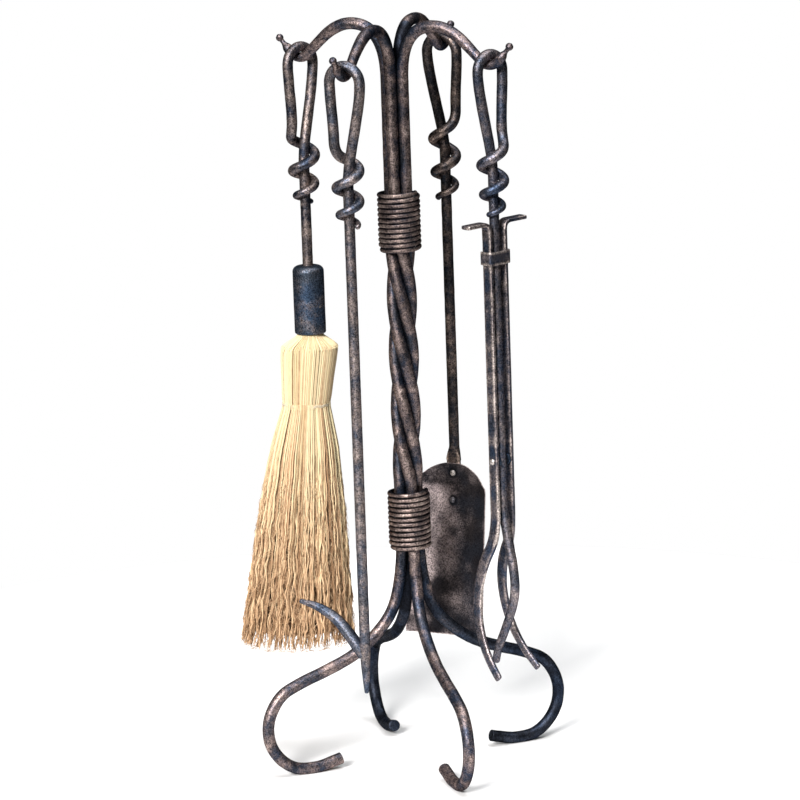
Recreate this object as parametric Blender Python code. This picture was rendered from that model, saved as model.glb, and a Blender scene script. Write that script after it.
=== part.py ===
"""Fireplace tool set in wrought iron: a four-bar stand with a broom, a poker, a shovel and tongs.

Metres, +Z up, floor at z = 0. Each of the stand's four bars runs from a ball-tipped hook over an arch,
down the stem, through the twist and out to a scrolled foot. Each tool is built in its own frame: the
origin is the lowest point of its hook's centre line, X runs towards the free leg of the tool's eye and
Z is up. The tongs' two outer bars turn about the rivet through the middle one.
"""

import math

import bmesh
import bpy
import numpy as np
from mathutils import Matrix, Vector
from mathutils.geometry import interpolate_bezier

GAP = 0.0003  # between pieces that touch on the real set

# Stand. The origin is under the middle of the whole set's box, so the stem stands a little off it.
STEM_X = 0.0265
STEM_Y = 0.0
BAR_R = 0.00635
BUNDLE_R = 0.0094  # from the stem's axis to each bar's centre line
ARCH_TOP_Z = 0.7936
ARCH_TOP_R = 0.0476
STEM_TOP_Z = 0.738
TWIST_TOP_Z = 0.5926
TWIST_BOTTOM_Z = 0.2976
TWIST = math.radians(408)
HOOK_R = 0.111  # from the stem's axis to the bottom of each hook
HOOK_Z = 0.7555
HOOK_BEND = 0.014
HOOK_INNER = math.radians(-45)  # how far the bend runs towards the stem and towards the tip
HOOK_OUTER = math.radians(50)
HOOK_BAR_R = 0.0052
TIP_LENGTH = 0.0195  # from the end of the bend to the middle of the ball

# The tip of a hook: distance from the ball's middle towards the hook, and radius.
TIP_PROFILE = (
    (-0.0040, 0.0009),
    (-0.0034, 0.0023),
    (-0.0020, 0.0036),
    (0.0000, 0.0041),
    (0.0020, 0.0036),
    (0.0033, 0.0024),
    (0.0060, 0.0024),
    (0.0082, 0.0034),
    (0.0110, 0.0046),
    (0.0145, HOOK_BAR_R),
)

# The leg's centre line from the end of the twist: radius from the stem's axis, and height.
LEG = (
    (BUNDLE_R, 0.2580),
    (BUNDLE_R, 0.2380),
    (0.0130, 0.2015),
    (0.0223, 0.1690),
    (0.0409, 0.1447),
    (0.0677, 0.1242),
    (0.0983, 0.1110),
    (0.1281, 0.1007),
    (0.1519, 0.0886),
    (0.1657, 0.0665),
    (0.1672, 0.0430),
    (0.1577, 0.0224),
    (0.1392, 0.0080),
    (0.1151, 0.0056),
    (0.0961, 0.0096),
    (0.0866, 0.0120),
)

LEG_SPREAD_R = 0.030  # the radius from which a leg has its own direction

WIRE_R = 0.0025
WIRE_PITCH = 0.0053
COLLAR_TURNS = 11.5
COLLAR_R = 0.0203  # to the wire's centre line
COLLAR_END_R = 0.0188  # at the wire's two ends, which are tucked in towards the bars
COLLAR_TUCK = 0.25  # turns over which an end is tucked in
UPPER_COLLAR_Z = 0.5870  # middle height of each collar
LOWER_COLLAR_Z = 0.2655

# Handles, the same on all four tools.
ROD_R = 0.0056
EYE_R = 0.0175
EYE_Z = HOOK_BAR_R + 0.0004 + ROD_R - EYE_R  # middle of the eye's round top
EYE_LEG_X = 0.0146  # where the free leg starts to wrap
EYE_LEG_Z = -0.066
SHAFT_TOP_Z = -0.110  # where the shaft leaves its axis for the eye
WRAP_TURNS = 2.5
WRAP_TOP_Z = -0.081
WRAP_LENGTH = 0.0745
SHOVEL_WRAP_LENGTH = 0.083
WRAP_START_GAP = 0.0021
WRAP_END_GAP = 0.0007
WRAP_END_R = 0.0029

# Broom
FERRULE_TOP_Z = -0.2225
FERRULE_LENGTH = 0.073
FERRULE_R = 0.0167
FERRULE_WALL = 0.0016
CORE_LENGTH = 0.045
ROD_IN_CORE = 0.030
PIN_R = 0.0014
FIBRE_NECK_R = 0.0125
TIE_R = 0.0007
STITCH_R = 0.0011
STITCH_Z = -0.3728
BROOM_WIDE = math.radians(207)  # world direction in which the head is widest
BROOM_LEAN = 0.026  # how far the head's tips have swept to the wide side

# The broom head from the neck down: height, half width and half thickness.
FIBRE_PROFILE = (
    (-0.2680, FIBRE_NECK_R, FIBRE_NECK_R),
    (-0.2985, FIBRE_NECK_R, FIBRE_NECK_R),
    (-0.3020, 0.0190, 0.0178),
    (-0.3100, 0.0295, 0.0255),
    (-0.3200, 0.0298, 0.0258),
    (-0.3450, 0.0275, 0.0242),
    (STITCH_Z + 0.006, 0.0258, 0.0228),
    (STITCH_Z, 0.0246, 0.0218),
    (STITCH_Z - 0.006, 0.0264, 0.0232),
    (-0.4200, 0.0365, 0.0308),
    (-0.4900, 0.0465, 0.0380),
    (-0.5700, 0.0550, 0.0440),
    (-0.6150, 0.0600, 0.0470),
    (-0.6360, 0.0610, 0.0475),
)

# Poker
POKER_TIP_Z = -0.6535
POKER_TAPER = 0.045
POKER_TIP_R = 0.0022
PRONG_RADII = ((0.0, 0.0056), (0.12, 0.0067), (0.35, 0.0064), (0.60, 0.0053), (0.82, 0.0039), (1.0, 0.0024))
PRONG = ((0.0020, -0.6130), (0.0160, -0.5935), (0.0340, -0.5750), (0.0540, -0.5645), (0.0745, -0.5600))

# Shovel
PAN_TOP_Z = -0.4530
PAN_LENGTH = 0.186
PAN_HALF_WIDTH = 0.0455
PAN_CREASE = 0.024  # length of the back wall
PAN_SHEET = 0.0016
PAN_WALL_TILT = math.radians(6)
PAN_SIDE_RISE = 0.017
PAN_FRONT_RISE = 0.006
PAN_LEAN = math.radians(10.5)
TANG_WIDTH = 0.016
TANG_THICK = 0.0040
TANG_BOTTOM_Z = -0.5065
RIVET_Z = (-0.4645, -0.4950)
RIVET_R = 0.0021
RIVET_HEAD_R = 0.0033

# Tongs
TONGS_ROD_R = 0.0053
PIVOT_Z = -0.4180
PIVOT_R = 0.0026
PIVOT_HEAD_R = 0.0034
ARM_S = 0.0108  # from the shaft's axis to the middle of each outer bar
ARM_WIDTH = 0.0125
ARM_THICK = 0.0045
ARM_TOP_Z = -0.1645
TAB_LENGTH = 0.0315
TAB_BEND = 0.0075
WASHER_R = 0.0062
STRAP_TOP_Z = -0.1940
STRAP_HEIGHT = 0.0143
STRAP_SHEET = 0.0016

# A claw's centre line: distance out from the shaft, forwards, and height.
OUTER_CLAW = (
    (ARM_S, 0.0, -0.4950),
    (0.0121, -0.0060, -0.5090),
    (0.0134, -0.0140, -0.5250),
    (0.0155, -0.0200, -0.5430),
    (0.0180, -0.0227, -0.5640),
    (0.0210, -0.0200, -0.5890),
    (0.0240, -0.0115, -0.6120),
    (0.0266, 0.0010, -0.6310),
    (0.0290, 0.0170, -0.6480),
)
MIDDLE_CLAW = (
    (0.0, 0.0, -0.4600),
    (0.0, 0.0020, -0.4780),
    (0.0, 0.0070, -0.5040),
    (0.0, 0.0125, -0.5290),
    (0.0, 0.0150, -0.5500),
    (0.0, 0.0125, -0.5690),
    (0.0, 0.0060, -0.5860),
    (0.0, -0.0030, -0.6050),
    (0.0, -0.0130, -0.6250),
    (0.0, -0.0175, -0.6395),
)
CLAW_TIP_R = 0.0042  # of the middle claw
CLAW_TIP_WIDTH = 0.0085  # of an outer claw
CLAW_SWELL = 0.0015  # how much wider than the bar an outer claw is halfway

# Direction of each hook, and of the free leg of the eye that hangs on it, seen from above.
TOOLS = {
    "tongs": (math.radians(0), math.radians(70)),
    "shovel": (math.radians(90), math.radians(0)),
    "broom": (math.radians(180), math.radians(250)),
    "poker": (math.radians(270), math.radians(180)),
}

# The forged feet are not quite a quarter turn apart: how far each stands from its own place.
LEG_TURN = {
    "tongs": math.radians(2.0),
    "shovel": math.radians(-4.5),
    "broom": math.radians(0.0),
    "poker": math.radians(-2.0),
}

# Colour, metallic and roughness of each material.
MATERIALS = {
    "wrought_iron": ((0.075, 0.068, 0.072), 0.75, 0.55),
    "black_iron": ((0.045, 0.046, 0.052), 0.60, 0.60),
    "bright_rivet": ((0.62, 0.55, 0.50), 0.90, 0.35),
    "broom_fibre": ((0.66, 0.50, 0.26), 0.0, 0.85),
    "stitch_cord": ((0.74, 0.66, 0.46), 0.0, 0.80),
    "wood": ((0.42, 0.27, 0.14), 0.0, 0.70),
}


def clear_scene():
    for thing in list(bpy.data.objects):
        bpy.data.objects.remove(thing, do_unlink=True)


def material(name):
    found = bpy.data.materials.get(name)
    if found:
        return found
    colour, metallic, roughness = MATERIALS[name]
    made = bpy.data.materials.new(name)
    made.use_nodes = True
    shader = made.node_tree.nodes["Principled BSDF"]
    shader.inputs["Base Color"].default_value = (*colour, 1.0)
    shader.inputs["Metallic"].default_value = metallic
    shader.inputs["Roughness"].default_value = roughness
    made.diffuse_color = (*colour, 1.0)
    return made


def add_object(name, mesh, finish, parent=None):
    """Turn a bmesh into an object, outward facing, with smooth sides and sharp edges."""
    bmesh.ops.recalc_face_normals(mesh, faces=mesh.faces)
    data = bpy.data.meshes.new(name)
    mesh.to_mesh(data)
    mesh.free()
    data.shade_smooth()
    data.set_sharp_from_angle(angle=math.radians(40))
    data.materials.append(material(finish))
    made = bpy.data.objects.new(name, data)
    bpy.context.scene.collection.objects.link(made)
    made.parent = parent
    return made


def add_empty(name, place, parent=None):
    made = bpy.data.objects.new(name, None)
    made.matrix_local = place
    made.parent = parent
    bpy.context.scene.collection.objects.link(made)
    return made


def cut(target, mesh):
    """Take a closed shape away from an object; the cutter stays in the file as a hidden guide."""
    cutter = add_object(f"{target.name}_cutter", mesh, "wrought_iron", target.parent)
    cutter.hide_render = True
    cutter.display_type = "WIRE"
    boolean = target.modifiers.new("cut", "BOOLEAN")
    boolean.operation = "DIFFERENCE"
    boolean.solver = "EXACT"
    boolean.object = cutter


def skin(rings, closed=False):
    """A bmesh through rings of equally many points: capped at both ends, or joined end to end."""
    mesh = bmesh.new()
    loops = [[mesh.verts.new(point) for point in ring] for ring in rings]
    pairs = list(zip(loops, loops[1:]))
    if closed:
        pairs.append((loops[-1], loops[0]))
    count = len(loops[0])
    for first, second in pairs:
        for i in range(count):
            j = (i + 1) % count
            mesh.faces.new((first[i], first[j], second[j], second[i]))
    if not closed:
        mesh.faces.new(loops[0])
        mesh.faces.new(loops[-1])
    return mesh


def tangents(path):
    ends = [path[0]] + list(path) + [path[-1]]
    return [(ends[i + 2] - ends[i]).normalized() for i in range(len(path))]


def round_rings(path, radii, sides=8):
    """Circles across a path, each turned as little as possible from the one before."""
    rings = []
    side = tangents(path)[0].orthogonal().normalized()
    for point, along, radius in zip(path, tangents(path), radii):
        side = (side - along * side.dot(along)).normalized()
        up = along.cross(side)
        angles = [2 * math.pi * i / sides for i in range(sides)]
        rings.append([point + (side * math.cos(a) + up * math.sin(a)) * radius for a in angles])
    return rings


def flat_rings(path, widths, thicknesses, across):
    """Eight-sided flat-bar sections across a path, wide along the direction `across`."""
    rings = []
    for point, along, width, thick in zip(path, tangents(path), widths, thicknesses):
        thin = along.cross(across).normalized()
        wide = thin.cross(along).normalized()
        chamfer = 0.25 * min(width, thick)
        ring = []
        for sign_w, sign_t, first in ((1, 1, True), (-1, 1, False), (-1, -1, True), (1, -1, False)):
            corners = [(width / 2, thick / 2 - chamfer), (width / 2 - chamfer, thick / 2)]
            for w, t in corners if first else reversed(corners):
                ring.append(point + wide * sign_w * w + thin * sign_t * t)
        rings.append(ring)
    return rings


def tube(name, path, radii, finish="wrought_iron", parent=None, sides=8):
    return add_object(name, skin(round_rings(path, radii, sides)), finish, parent)


def cylinder(radius, start, end, sides=16):
    return skin(round_rings([start, end], [radius, radius], sides))


def turned(profile, sides=20):
    """A closed ring turned about Z from an outline of (radius, height) points."""
    rings = []
    for i in range(sides):
        angle = 2 * math.pi * i / sides
        rings.append([Vector((r * math.cos(angle), r * math.sin(angle), z)) for r, z in profile])
    return skin(rings, closed=True)


def merge(first, second):
    """Add one bmesh's shapes to another, for a cutter of several shapes."""
    data = bpy.data.meshes.new("merged")
    second.to_mesh(data)
    first.from_mesh(data)
    second.free()
    bpy.data.meshes.remove(data)
    return first


def spline(points, steps):
    """A smooth curve through the points, with this many steps between each two."""
    ends = [points[0] * 2 - points[1]] + list(points) + [points[-1] * 2 - points[-2]]
    path = [points[0].copy()]
    for a, b, c, d in zip(ends, ends[1:], ends[2:], ends[3:]):
        path += interpolate_bezier(b, b + (c - a) / 6, c - (d - b) / 6, c, steps + 1)[1:]
    return path


# Stand


def on_stand(radius, azimuth, z):
    return Vector((STEM_X + radius * math.cos(azimuth), STEM_Y + radius * math.sin(azimuth), z))


def hook_profile():
    """Points (radius, height) and bar radii from the ball's far end to the end of the hook's bend."""
    bend_end = Vector((math.sin(HOOK_OUTER), -math.cos(HOOK_OUTER))) * HOOK_BEND
    outwards = Vector((math.cos(HOOK_OUTER), math.sin(HOOK_OUTER)))
    middle = Vector((HOOK_R, HOOK_Z + HOOK_BEND))
    ball = middle + bend_end + outwards * TIP_LENGTH
    points = [ball - outwards * back for back, _ in TIP_PROFILE]
    radii = [radius for _, radius in TIP_PROFILE]
    steps = 8
    for i in range(steps + 1):
        angle = HOOK_OUTER + (HOOK_INNER - HOOK_OUTER) * i / steps
        points.append(middle + Vector((math.sin(angle), -math.cos(angle))) * HOOK_BEND)
        radii.append(HOOK_BAR_R)
    return points, radii


def arch_profile(start):
    """Points (radius, height) from the end of the hook's bend over the arch to the stem."""
    down = Vector((-1, 1)).normalized() * 0.023
    top = Vector((ARCH_TOP_R, ARCH_TOP_Z))
    foot = Vector((BUNDLE_R, STEM_TOP_Z))
    outer = interpolate_bezier(start, start + down, top + Vector((0.022, 0)), top, 9)[1:]
    inner = interpolate_bezier(top, top - Vector((0.025, 0)), foot + Vector((0, 0.037)), foot, 9)[1:]
    return outer + inner


def eased(t, blend=0.06):
    """Runs from 0 to 1 as t does, at an even rate but for a soft start and end."""
    rate = 1 / (1 - blend)
    if t < blend:
        return rate * t * t / (2 * blend)
    if t > 1 - blend:
        return 1 - rate * (1 - t) ** 2 / (2 * blend)
    return rate * (t - blend / 2)


def bar_path(tool):
    """The centre line and radii of one bar, from the ball on its hook to the end of its foot."""
    hook_azimuth = TOOLS[tool][0]
    profile, radii = hook_profile()
    arch = arch_profile(profile[-1])
    for i in range(len(arch)):
        grown = min(1.0, (i + 1) / 6)
        radii.append(HOOK_BAR_R + (BAR_R - HOOK_BAR_R) * grown)
    path = [on_stand(radius, hook_azimuth, z) for radius, z in profile + arch]
    steps = 28
    for i in range(steps + 1):
        z = TWIST_TOP_Z + (TWIST_BOTTOM_Z - TWIST_TOP_Z) * i / steps
        path.append(on_stand(BUNDLE_R, hook_azimuth + TWIST * eased(i / steps), z))
    for point in spline([Vector((radius, z, 0)) for radius, z in LEG], 2):
        spread = min(1.0, max(0.0, (point.x - BUNDLE_R) / (LEG_SPREAD_R - BUNDLE_R)))
        path.append(on_stand(point.x, hook_azimuth + TWIST + LEG_TURN[tool] * spread, point.y))
    radii += [BAR_R] * (len(path) - len(radii))
    return path, radii


def floor_cutter():
    """A slab whose top is the floor."""
    slab = bmesh.new()
    size = Matrix.Diagonal((0.6, 0.6, 0.02, 1.0))
    bmesh.ops.create_cube(slab, size=1.0, matrix=Matrix.Translation((0, 0, -0.01)) @ size)
    return slab


def build_bar(tool):
    path, radii = bar_path(tool)
    bar = tube(f"stand_bar_{tool}", path, radii)
    cut(bar, floor_cutter())


def build_collar(name, middle_z, first_azimuth):
    """Wire wound round the four bars, both of its ends tucked in towards them."""
    steps = 12
    count = round(COLLAR_TURNS * steps)
    path = []
    for i in range(count + 1):
        closing = max(0.0, 1 - min(i, count - i) / (steps * COLLAR_TUCK))
        radius = COLLAR_R + (COLLAR_END_R - COLLAR_R) * closing
        z = middle_z + WIRE_PITCH * (COLLAR_TURNS / 2 - i / steps)
        path.append(on_stand(radius, first_azimuth - 2 * math.pi * i / steps, z))
    tube(name, path, [WIRE_R] * len(path), sides=6)


def build_stand():
    for tool in TOOLS:
        build_bar(tool)
    build_collar("collar_upper", UPPER_COLLAR_Z, math.radians(10))
    build_collar("collar_lower", LOWER_COLLAR_Z, math.radians(30))


# Handles


def tool_frame(tool):
    """The empty that a tool hangs by, at the bottom of its hook."""
    azimuth, leg_azimuth = TOOLS[tool]
    place = Matrix.Translation(on_stand(HOOK_R, azimuth, HOOK_Z)) @ Matrix.Rotation(leg_azimuth, 4, "Z")
    return add_empty(f"{tool}_hang", place)


def wrap_point(t, length, rod_r):
    """A point of the wrapped end's centre line and its radius, for t from 0 at the eye to 1."""
    thin = max(0.0, (t - 0.45) / 0.55) ** 1.2
    radius = ROD_R - 0.0001 + (WRAP_END_R - ROD_R) * thin
    gap = WRAP_START_GAP + (WRAP_END_GAP - WRAP_START_GAP) * t
    reach = rod_r + gap + radius
    angle = -2 * math.pi * WRAP_TURNS * t
    z = WRAP_TOP_Z - length * (1.35 * t - 0.35 * t * t)
    return Vector((reach * math.cos(angle), reach * math.sin(angle), z)), radius


def handle(rod_r=ROD_R, length=WRAP_LENGTH):
    """Path and radii from the top of the shaft round the eye and down the wrap to its end."""
    left = Vector((-EYE_R, 0, EYE_Z))
    shaft = Vector((0, 0, SHAFT_TOP_Z))
    path = [shaft]
    path += interpolate_bezier(shaft, Vector((0, 0, -0.088)), Vector((-EYE_R, 0, -0.033)), left, 8)[1:]
    arc = 10
    for i in range(1, arc + 1):
        angle = math.pi * (1 - i / arc)
        path.append(Vector((EYE_R * math.cos(angle), 0, EYE_Z + EYE_R * math.sin(angle))))
    leg = Vector((EYE_LEG_X, 0, EYE_LEG_Z))
    above = leg + Vector((0, 0, 0.022))
    path += interpolate_bezier(path[-1], path[-1] - Vector((0, 0, 0.020)), above, leg, 6)[1:]
    radii = [rod_r + (ROD_R - rod_r) * min(1.0, i / 4) for i in range(len(path))]

    steps = 40
    first = 2  # the wrap's own path starts this many steps in, and a bend leads into it
    wrap = [wrap_point(i / steps, length, rod_r) for i in range(first, steps + 1)]
    into = (wrap[1][0] - wrap[0][0]).normalized() * 0.008
    bend = interpolate_bezier(leg, leg - Vector((0, 0, 0.010)), wrap[0][0] - into, wrap[0][0], 5)[1:-1]
    path += bend
    radii += [ROD_R] * len(bend)
    path += [point for point, _ in wrap]
    radii += [radius for _, radius in wrap]
    along = (path[-1] - path[-2]).normalized()
    path.append(path[-1] + along * 0.0016)
    radii.append(radii[-1] * 0.55)
    return path, radii


# Broom


def build_ferrule(parent):
    """A sleeve with a domed top, open below, and a hole for the rod."""
    inner = FERRULE_R - FERRULE_WALL
    bottom = FERRULE_TOP_Z - FERRULE_LENGTH
    hole = ROD_R + GAP
    dome = 0.006
    profile = (
        (hole, FERRULE_TOP_Z),
        (FERRULE_R - 0.0060, FERRULE_TOP_Z - 0.0006),
        (FERRULE_R - 0.0020, FERRULE_TOP_Z - 0.0026),
        (FERRULE_R, FERRULE_TOP_Z - dome),
        (FERRULE_R, bottom),
        (inner, bottom),
        (inner, FERRULE_TOP_Z - dome - 0.0005),
        (hole, FERRULE_TOP_Z - dome + 0.0015),
    )
    ferrule = add_object("broom_ferrule", turned(profile, 24), "black_iron", parent)
    cut(ferrule, pin_hole())


def pin_z():
    return FERRULE_TOP_Z - ROD_IN_CORE - 0.013


def pin_hole():
    reach = Vector((0, FERRULE_R + 0.01, pin_z()))
    return cylinder(PIN_R + GAP, reach, Vector((0, -reach.y, reach.z)), 10)


def build_core(parent):
    """The wooden plug that holds the rod and the fibres, with a socket for the rod."""
    top = FERRULE_TOP_Z - 0.0075
    radius = FERRULE_R - FERRULE_WALL - GAP
    body = cylinder(radius, Vector((0, 0, top)), Vector((0, 0, top - CORE_LENGTH + 0.0075)), 20)
    core = add_object("broom_core", body, "wood", parent)
    socket_end = Vector((0, 0, FERRULE_TOP_Z - ROD_IN_CORE - GAP))
    socket = cylinder(ROD_R + GAP, Vector((0, 0, top + 0.01)), socket_end, 12)
    cut(core, merge(socket, pin_hole()))


def fibre_centre(z):
    """How far the middle of the head has swept to the wide side at a height."""
    neck_z = FIBRE_PROFILE[1][0]
    below = max(0.0, (neck_z - z) / (neck_z - FIBRE_PROFILE[-1][0]))
    return below**0.85 * BROOM_LEAN


def build_fibres(parent):
    """The head as one closed solid of its outer shape, and the cords bound round it."""
    turn = BROOM_WIDE - TOOLS["broom"][1]
    wide = Vector((math.cos(turn), math.sin(turn), 0))
    deep = Vector((-math.sin(turn), math.cos(turn), 0))
    sides = 24
    angles = [2 * math.pi * i / sides for i in range(sides)]

    def section(z, half_wide, half_deep):
        middle = Vector((0, 0, z)) + wide * fibre_centre(z)
        return [
            middle + wide * half_wide * math.cos(a) + deep * half_deep * math.sin(a) for a in angles
        ]

    rings = [section(*row) for row in FIBRE_PROFILE]
    add_object("broom_fibres", skin(rings), "broom_fibre", parent)

    waist = dict((row[0], row[1:]) for row in FIBRE_PROFILE)[STITCH_Z]
    out = STITCH_R + GAP + 0.0004
    loop = section(STITCH_Z, waist[0] + out, waist[1] + out)
    ring = round_rings(loop + [loop[0], loop[1]], [STITCH_R] * (sides + 2), 6)[1:-1]
    add_object("broom_stitch", skin(ring, closed=True), "stitch_cord", parent)

    tie_z = FERRULE_TOP_Z - FERRULE_LENGTH + 0.010
    tie = FIBRE_NECK_R + GAP + TIE_R
    profile = [(tie + TIE_R * math.cos(a), tie_z + TIE_R * math.sin(a)) for a in angles[::4]]
    add_object("broom_neck_tie", turned(profile, 24), "bright_rivet", parent)


def build_broom():
    hang = tool_frame("broom")
    path, radii = handle()
    rod_end = Vector((0, 0, FERRULE_TOP_Z - ROD_IN_CORE))
    tube("broom_handle", [rod_end] + path, [ROD_R] + radii, parent=hang)
    build_ferrule(hang)
    build_core(hang)
    pin = Vector((0, FERRULE_R + 0.0008, pin_z()))
    pin_body = cylinder(PIN_R, pin, Vector((0, -pin.y, pin.z)), 10)
    add_object("broom_pin", pin_body, "bright_rivet", hang)
    build_fibres(hang)


# Poker


def build_poker():
    hang = tool_frame("poker")
    path, radii = handle()
    tip = Vector((0, 0, POKER_TIP_Z))
    point = [tip + Vector((0, 0, up * POKER_TAPER)) for up in (0.0, 0.04, 0.5, 1.0)]
    point_radii = [POKER_TIP_R * 0.5, POKER_TIP_R, 0.5 * (POKER_TIP_R + ROD_R) + 0.0006, ROD_R]
    tube("poker_shaft", point + path, point_radii + radii, parent=hang)

    prong = spline([Vector((x, 0, z)) for x, z in PRONG], 3)
    last = len(prong) - 1
    shares, sizes = zip(*PRONG_RADII)
    prong_radii = [float(np.interp(i / last, shares, sizes)) for i in range(last + 1)]
    prong.append(prong[-1] + (prong[-1] - prong[-2]).normalized() * 0.0015)
    prong_radii.append(prong_radii[-1] * 0.5)
    forged = tube("poker_prong", prong, prong_radii, parent=hang)
    cut(forged, cylinder(ROD_R + GAP, Vector((0, 0, -0.64)), Vector((0, 0, -0.55)), 16))


# Shovel


def back_slope(z):
    """How the sheet slopes at a height: the wall leans forward above the crease, the floor below."""
    return PAN_WALL_TILT if z > PAN_TOP_Z - PAN_CREASE else -PAN_LEAN


def back_y(z):
    """Where the middle of the shaft's flattened end lies at a height: the sheet follows it."""
    from_crease = z - (PAN_TOP_Z - PAN_CREASE)
    return -from_crease * math.tan(back_slope(z))


def into_hollow(z):
    """The direction across the sheet, towards the pan's hollow side."""
    slope = back_slope(z)
    return Vector((0, -math.cos(slope), -math.sin(slope)))


def pan_half_width(along):
    """The back end is rounded, and the front spreads a little."""
    round_end = 0.036
    if along < round_end:
        return PAN_HALF_WIDTH * math.sqrt(max(0.0, 1 - (1 - along / round_end) ** 2))
    return PAN_HALF_WIDTH + 0.001 * (along - round_end) / (PAN_LENGTH - round_end)


def pan_rise(across, along):
    """How far the sheet stands towards the hollow side at a share of its half width."""
    sides = PAN_SIDE_RISE + (PAN_FRONT_RISE - PAN_SIDE_RISE) * along / PAN_LENGTH
    return sides * abs(across) ** 2.4


def build_pan(parent):
    columns = 14
    rows = (0.0012, 0.005, 0.012, 0.020, PAN_CREASE, 0.032, 0.045, 0.070, 0.105, 0.145, PAN_LENGTH)
    inner = []
    outer = []
    for along in rows:
        half = pan_half_width(along)
        z = PAN_TOP_Z - along
        normal = into_hollow(z)
        middle = Vector((0, back_y(z), z)) + normal * (TANG_THICK / 2 + GAP + PAN_SHEET)
        for column in range(columns + 1):
            across = (2 * column / columns - 1) * half
            point = middle + normal * pan_rise(across / PAN_HALF_WIDTH, along)
            point.x = across
            inner.append(point)
            outer.append(point - normal * PAN_SHEET)
    # The grid's border loops join the two faces of the sheet.
    mesh = bmesh.new()
    wide = columns + 1
    top = [mesh.verts.new(point) for point in inner]
    bottom = [mesh.verts.new(point) for point in outer]
    for row in range(len(rows) - 1):
        for column in range(columns):
            a = row * wide + column
            quad = (a, a + 1, a + wide + 1, a + wide)
            mesh.faces.new([top[i] for i in quad])
            mesh.faces.new([bottom[i] for i in reversed(quad)])
    last = (len(rows) - 1) * wide
    border = list(range(wide))
    border += [row * wide + columns for row in range(1, len(rows))]
    border += [last + column for column in range(columns - 1, -1, -1)]
    border += [row * wide for row in range(len(rows) - 2, 0, -1)]
    for a, b in zip(border, border[1:] + border[:1]):
        mesh.faces.new((top[a], bottom[a], bottom[b], top[b]))
    pan = add_object("shovel_pan", mesh, "wrought_iron", parent)
    cut(pan, merge(rivet_hole(RIVET_Z[0]), rivet_hole(RIVET_Z[1])))


def rivet_hole(z):
    middle = Vector((0, back_y(z), z))
    return cylinder(RIVET_R + GAP, middle - into_hollow(z) * 0.02, middle + into_hollow(z) * 0.02, 12)


def build_rivet(name, z, parent):
    """A rivet with a domed head on the hollow side and a low head behind."""
    back = -TANG_THICK / 2 - GAP
    front = TANG_THICK / 2 + 2 * GAP + PAN_SHEET + 0.0001
    profile = (
        (back - 0.0016, RIVET_HEAD_R * 0.5),
        (back - 0.0010, RIVET_HEAD_R * 0.95),
        (back - 0.0001, RIVET_HEAD_R),
        (back, RIVET_R),
        (front, RIVET_R),
        (front + 0.0001, RIVET_HEAD_R),
        (front + 0.0012, RIVET_HEAD_R * 0.85),
        (front + 0.0021, RIVET_HEAD_R * 0.4),
    )
    path = [Vector((0, back_y(z), z)) + into_hollow(z) * at for at, _ in profile]
    tube(name, path, [radius for _, radius in profile], "bright_rivet", parent, 12)


def build_shovel():
    hang = tool_frame("shovel")
    path, radii = handle(length=SHOVEL_WRAP_LENGTH)
    neck_z = PAN_TOP_Z + 0.016
    across = Vector((1, 0, 0))
    crease_z = PAN_TOP_Z - PAN_CREASE
    levels = (TANG_BOTTOM_Z, TANG_BOTTOM_Z + 0.003, crease_z, PAN_TOP_Z)
    tang = [Vector((0, back_y(z), z)) for z in levels]
    widths = [TANG_WIDTH * 0.6, TANG_WIDTH, TANG_WIDTH, TANG_WIDTH]
    tang.append(Vector((0, back_y(PAN_TOP_Z), PAN_TOP_Z + 0.003)))
    widths.append(TANG_WIDTH * 1.1)
    rings = flat_rings(tang, widths, [TANG_THICK] * len(tang), across)
    rod = [Vector((0, 0, neck_z)), Vector((0, 0, -0.30))] + path
    rod_rings = round_rings(rod, [ROD_R, ROD_R] + radii)
    shaft = add_object("shovel_shaft", skin(rings + matched(rings[-1], rod_rings)), "wrought_iron", hang)
    cut(shaft, merge(rivet_hole(RIVET_Z[0]), rivet_hole(RIVET_Z[1])))
    build_pan(hang)
    build_rivet("shovel_rivet_upper", RIVET_Z[0], hang)
    build_rivet("shovel_rivet_lower", RIVET_Z[1], hang)


def matched(ring, others):
    """Renumber the points of the other rings, the same way in each, to start nearest to this ring's."""
    count = len(ring)
    first = others[0]

    def misfit(order):
        return sum((ring[i] - first[order[i]]).length for i in range(count))

    orders = []
    for start in range(count):
        orders.append([(start + i) % count for i in range(count)])
        orders.append([(start - i) % count for i in range(count)])
    best = min(orders, key=misfit)
    return [[other[i] for i in best] for other in others]


# Tongs


def forwards(out, front, z):
    """A point of the tongs: out along the stack of bars, away from the eye's free leg."""
    return Vector((-out, -front, z))


def pivot_hole():
    return cylinder(PIVOT_R + GAP, forwards(-0.03, 0, PIVOT_Z), forwards(0.03, 0, PIVOT_Z), 12)


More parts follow.
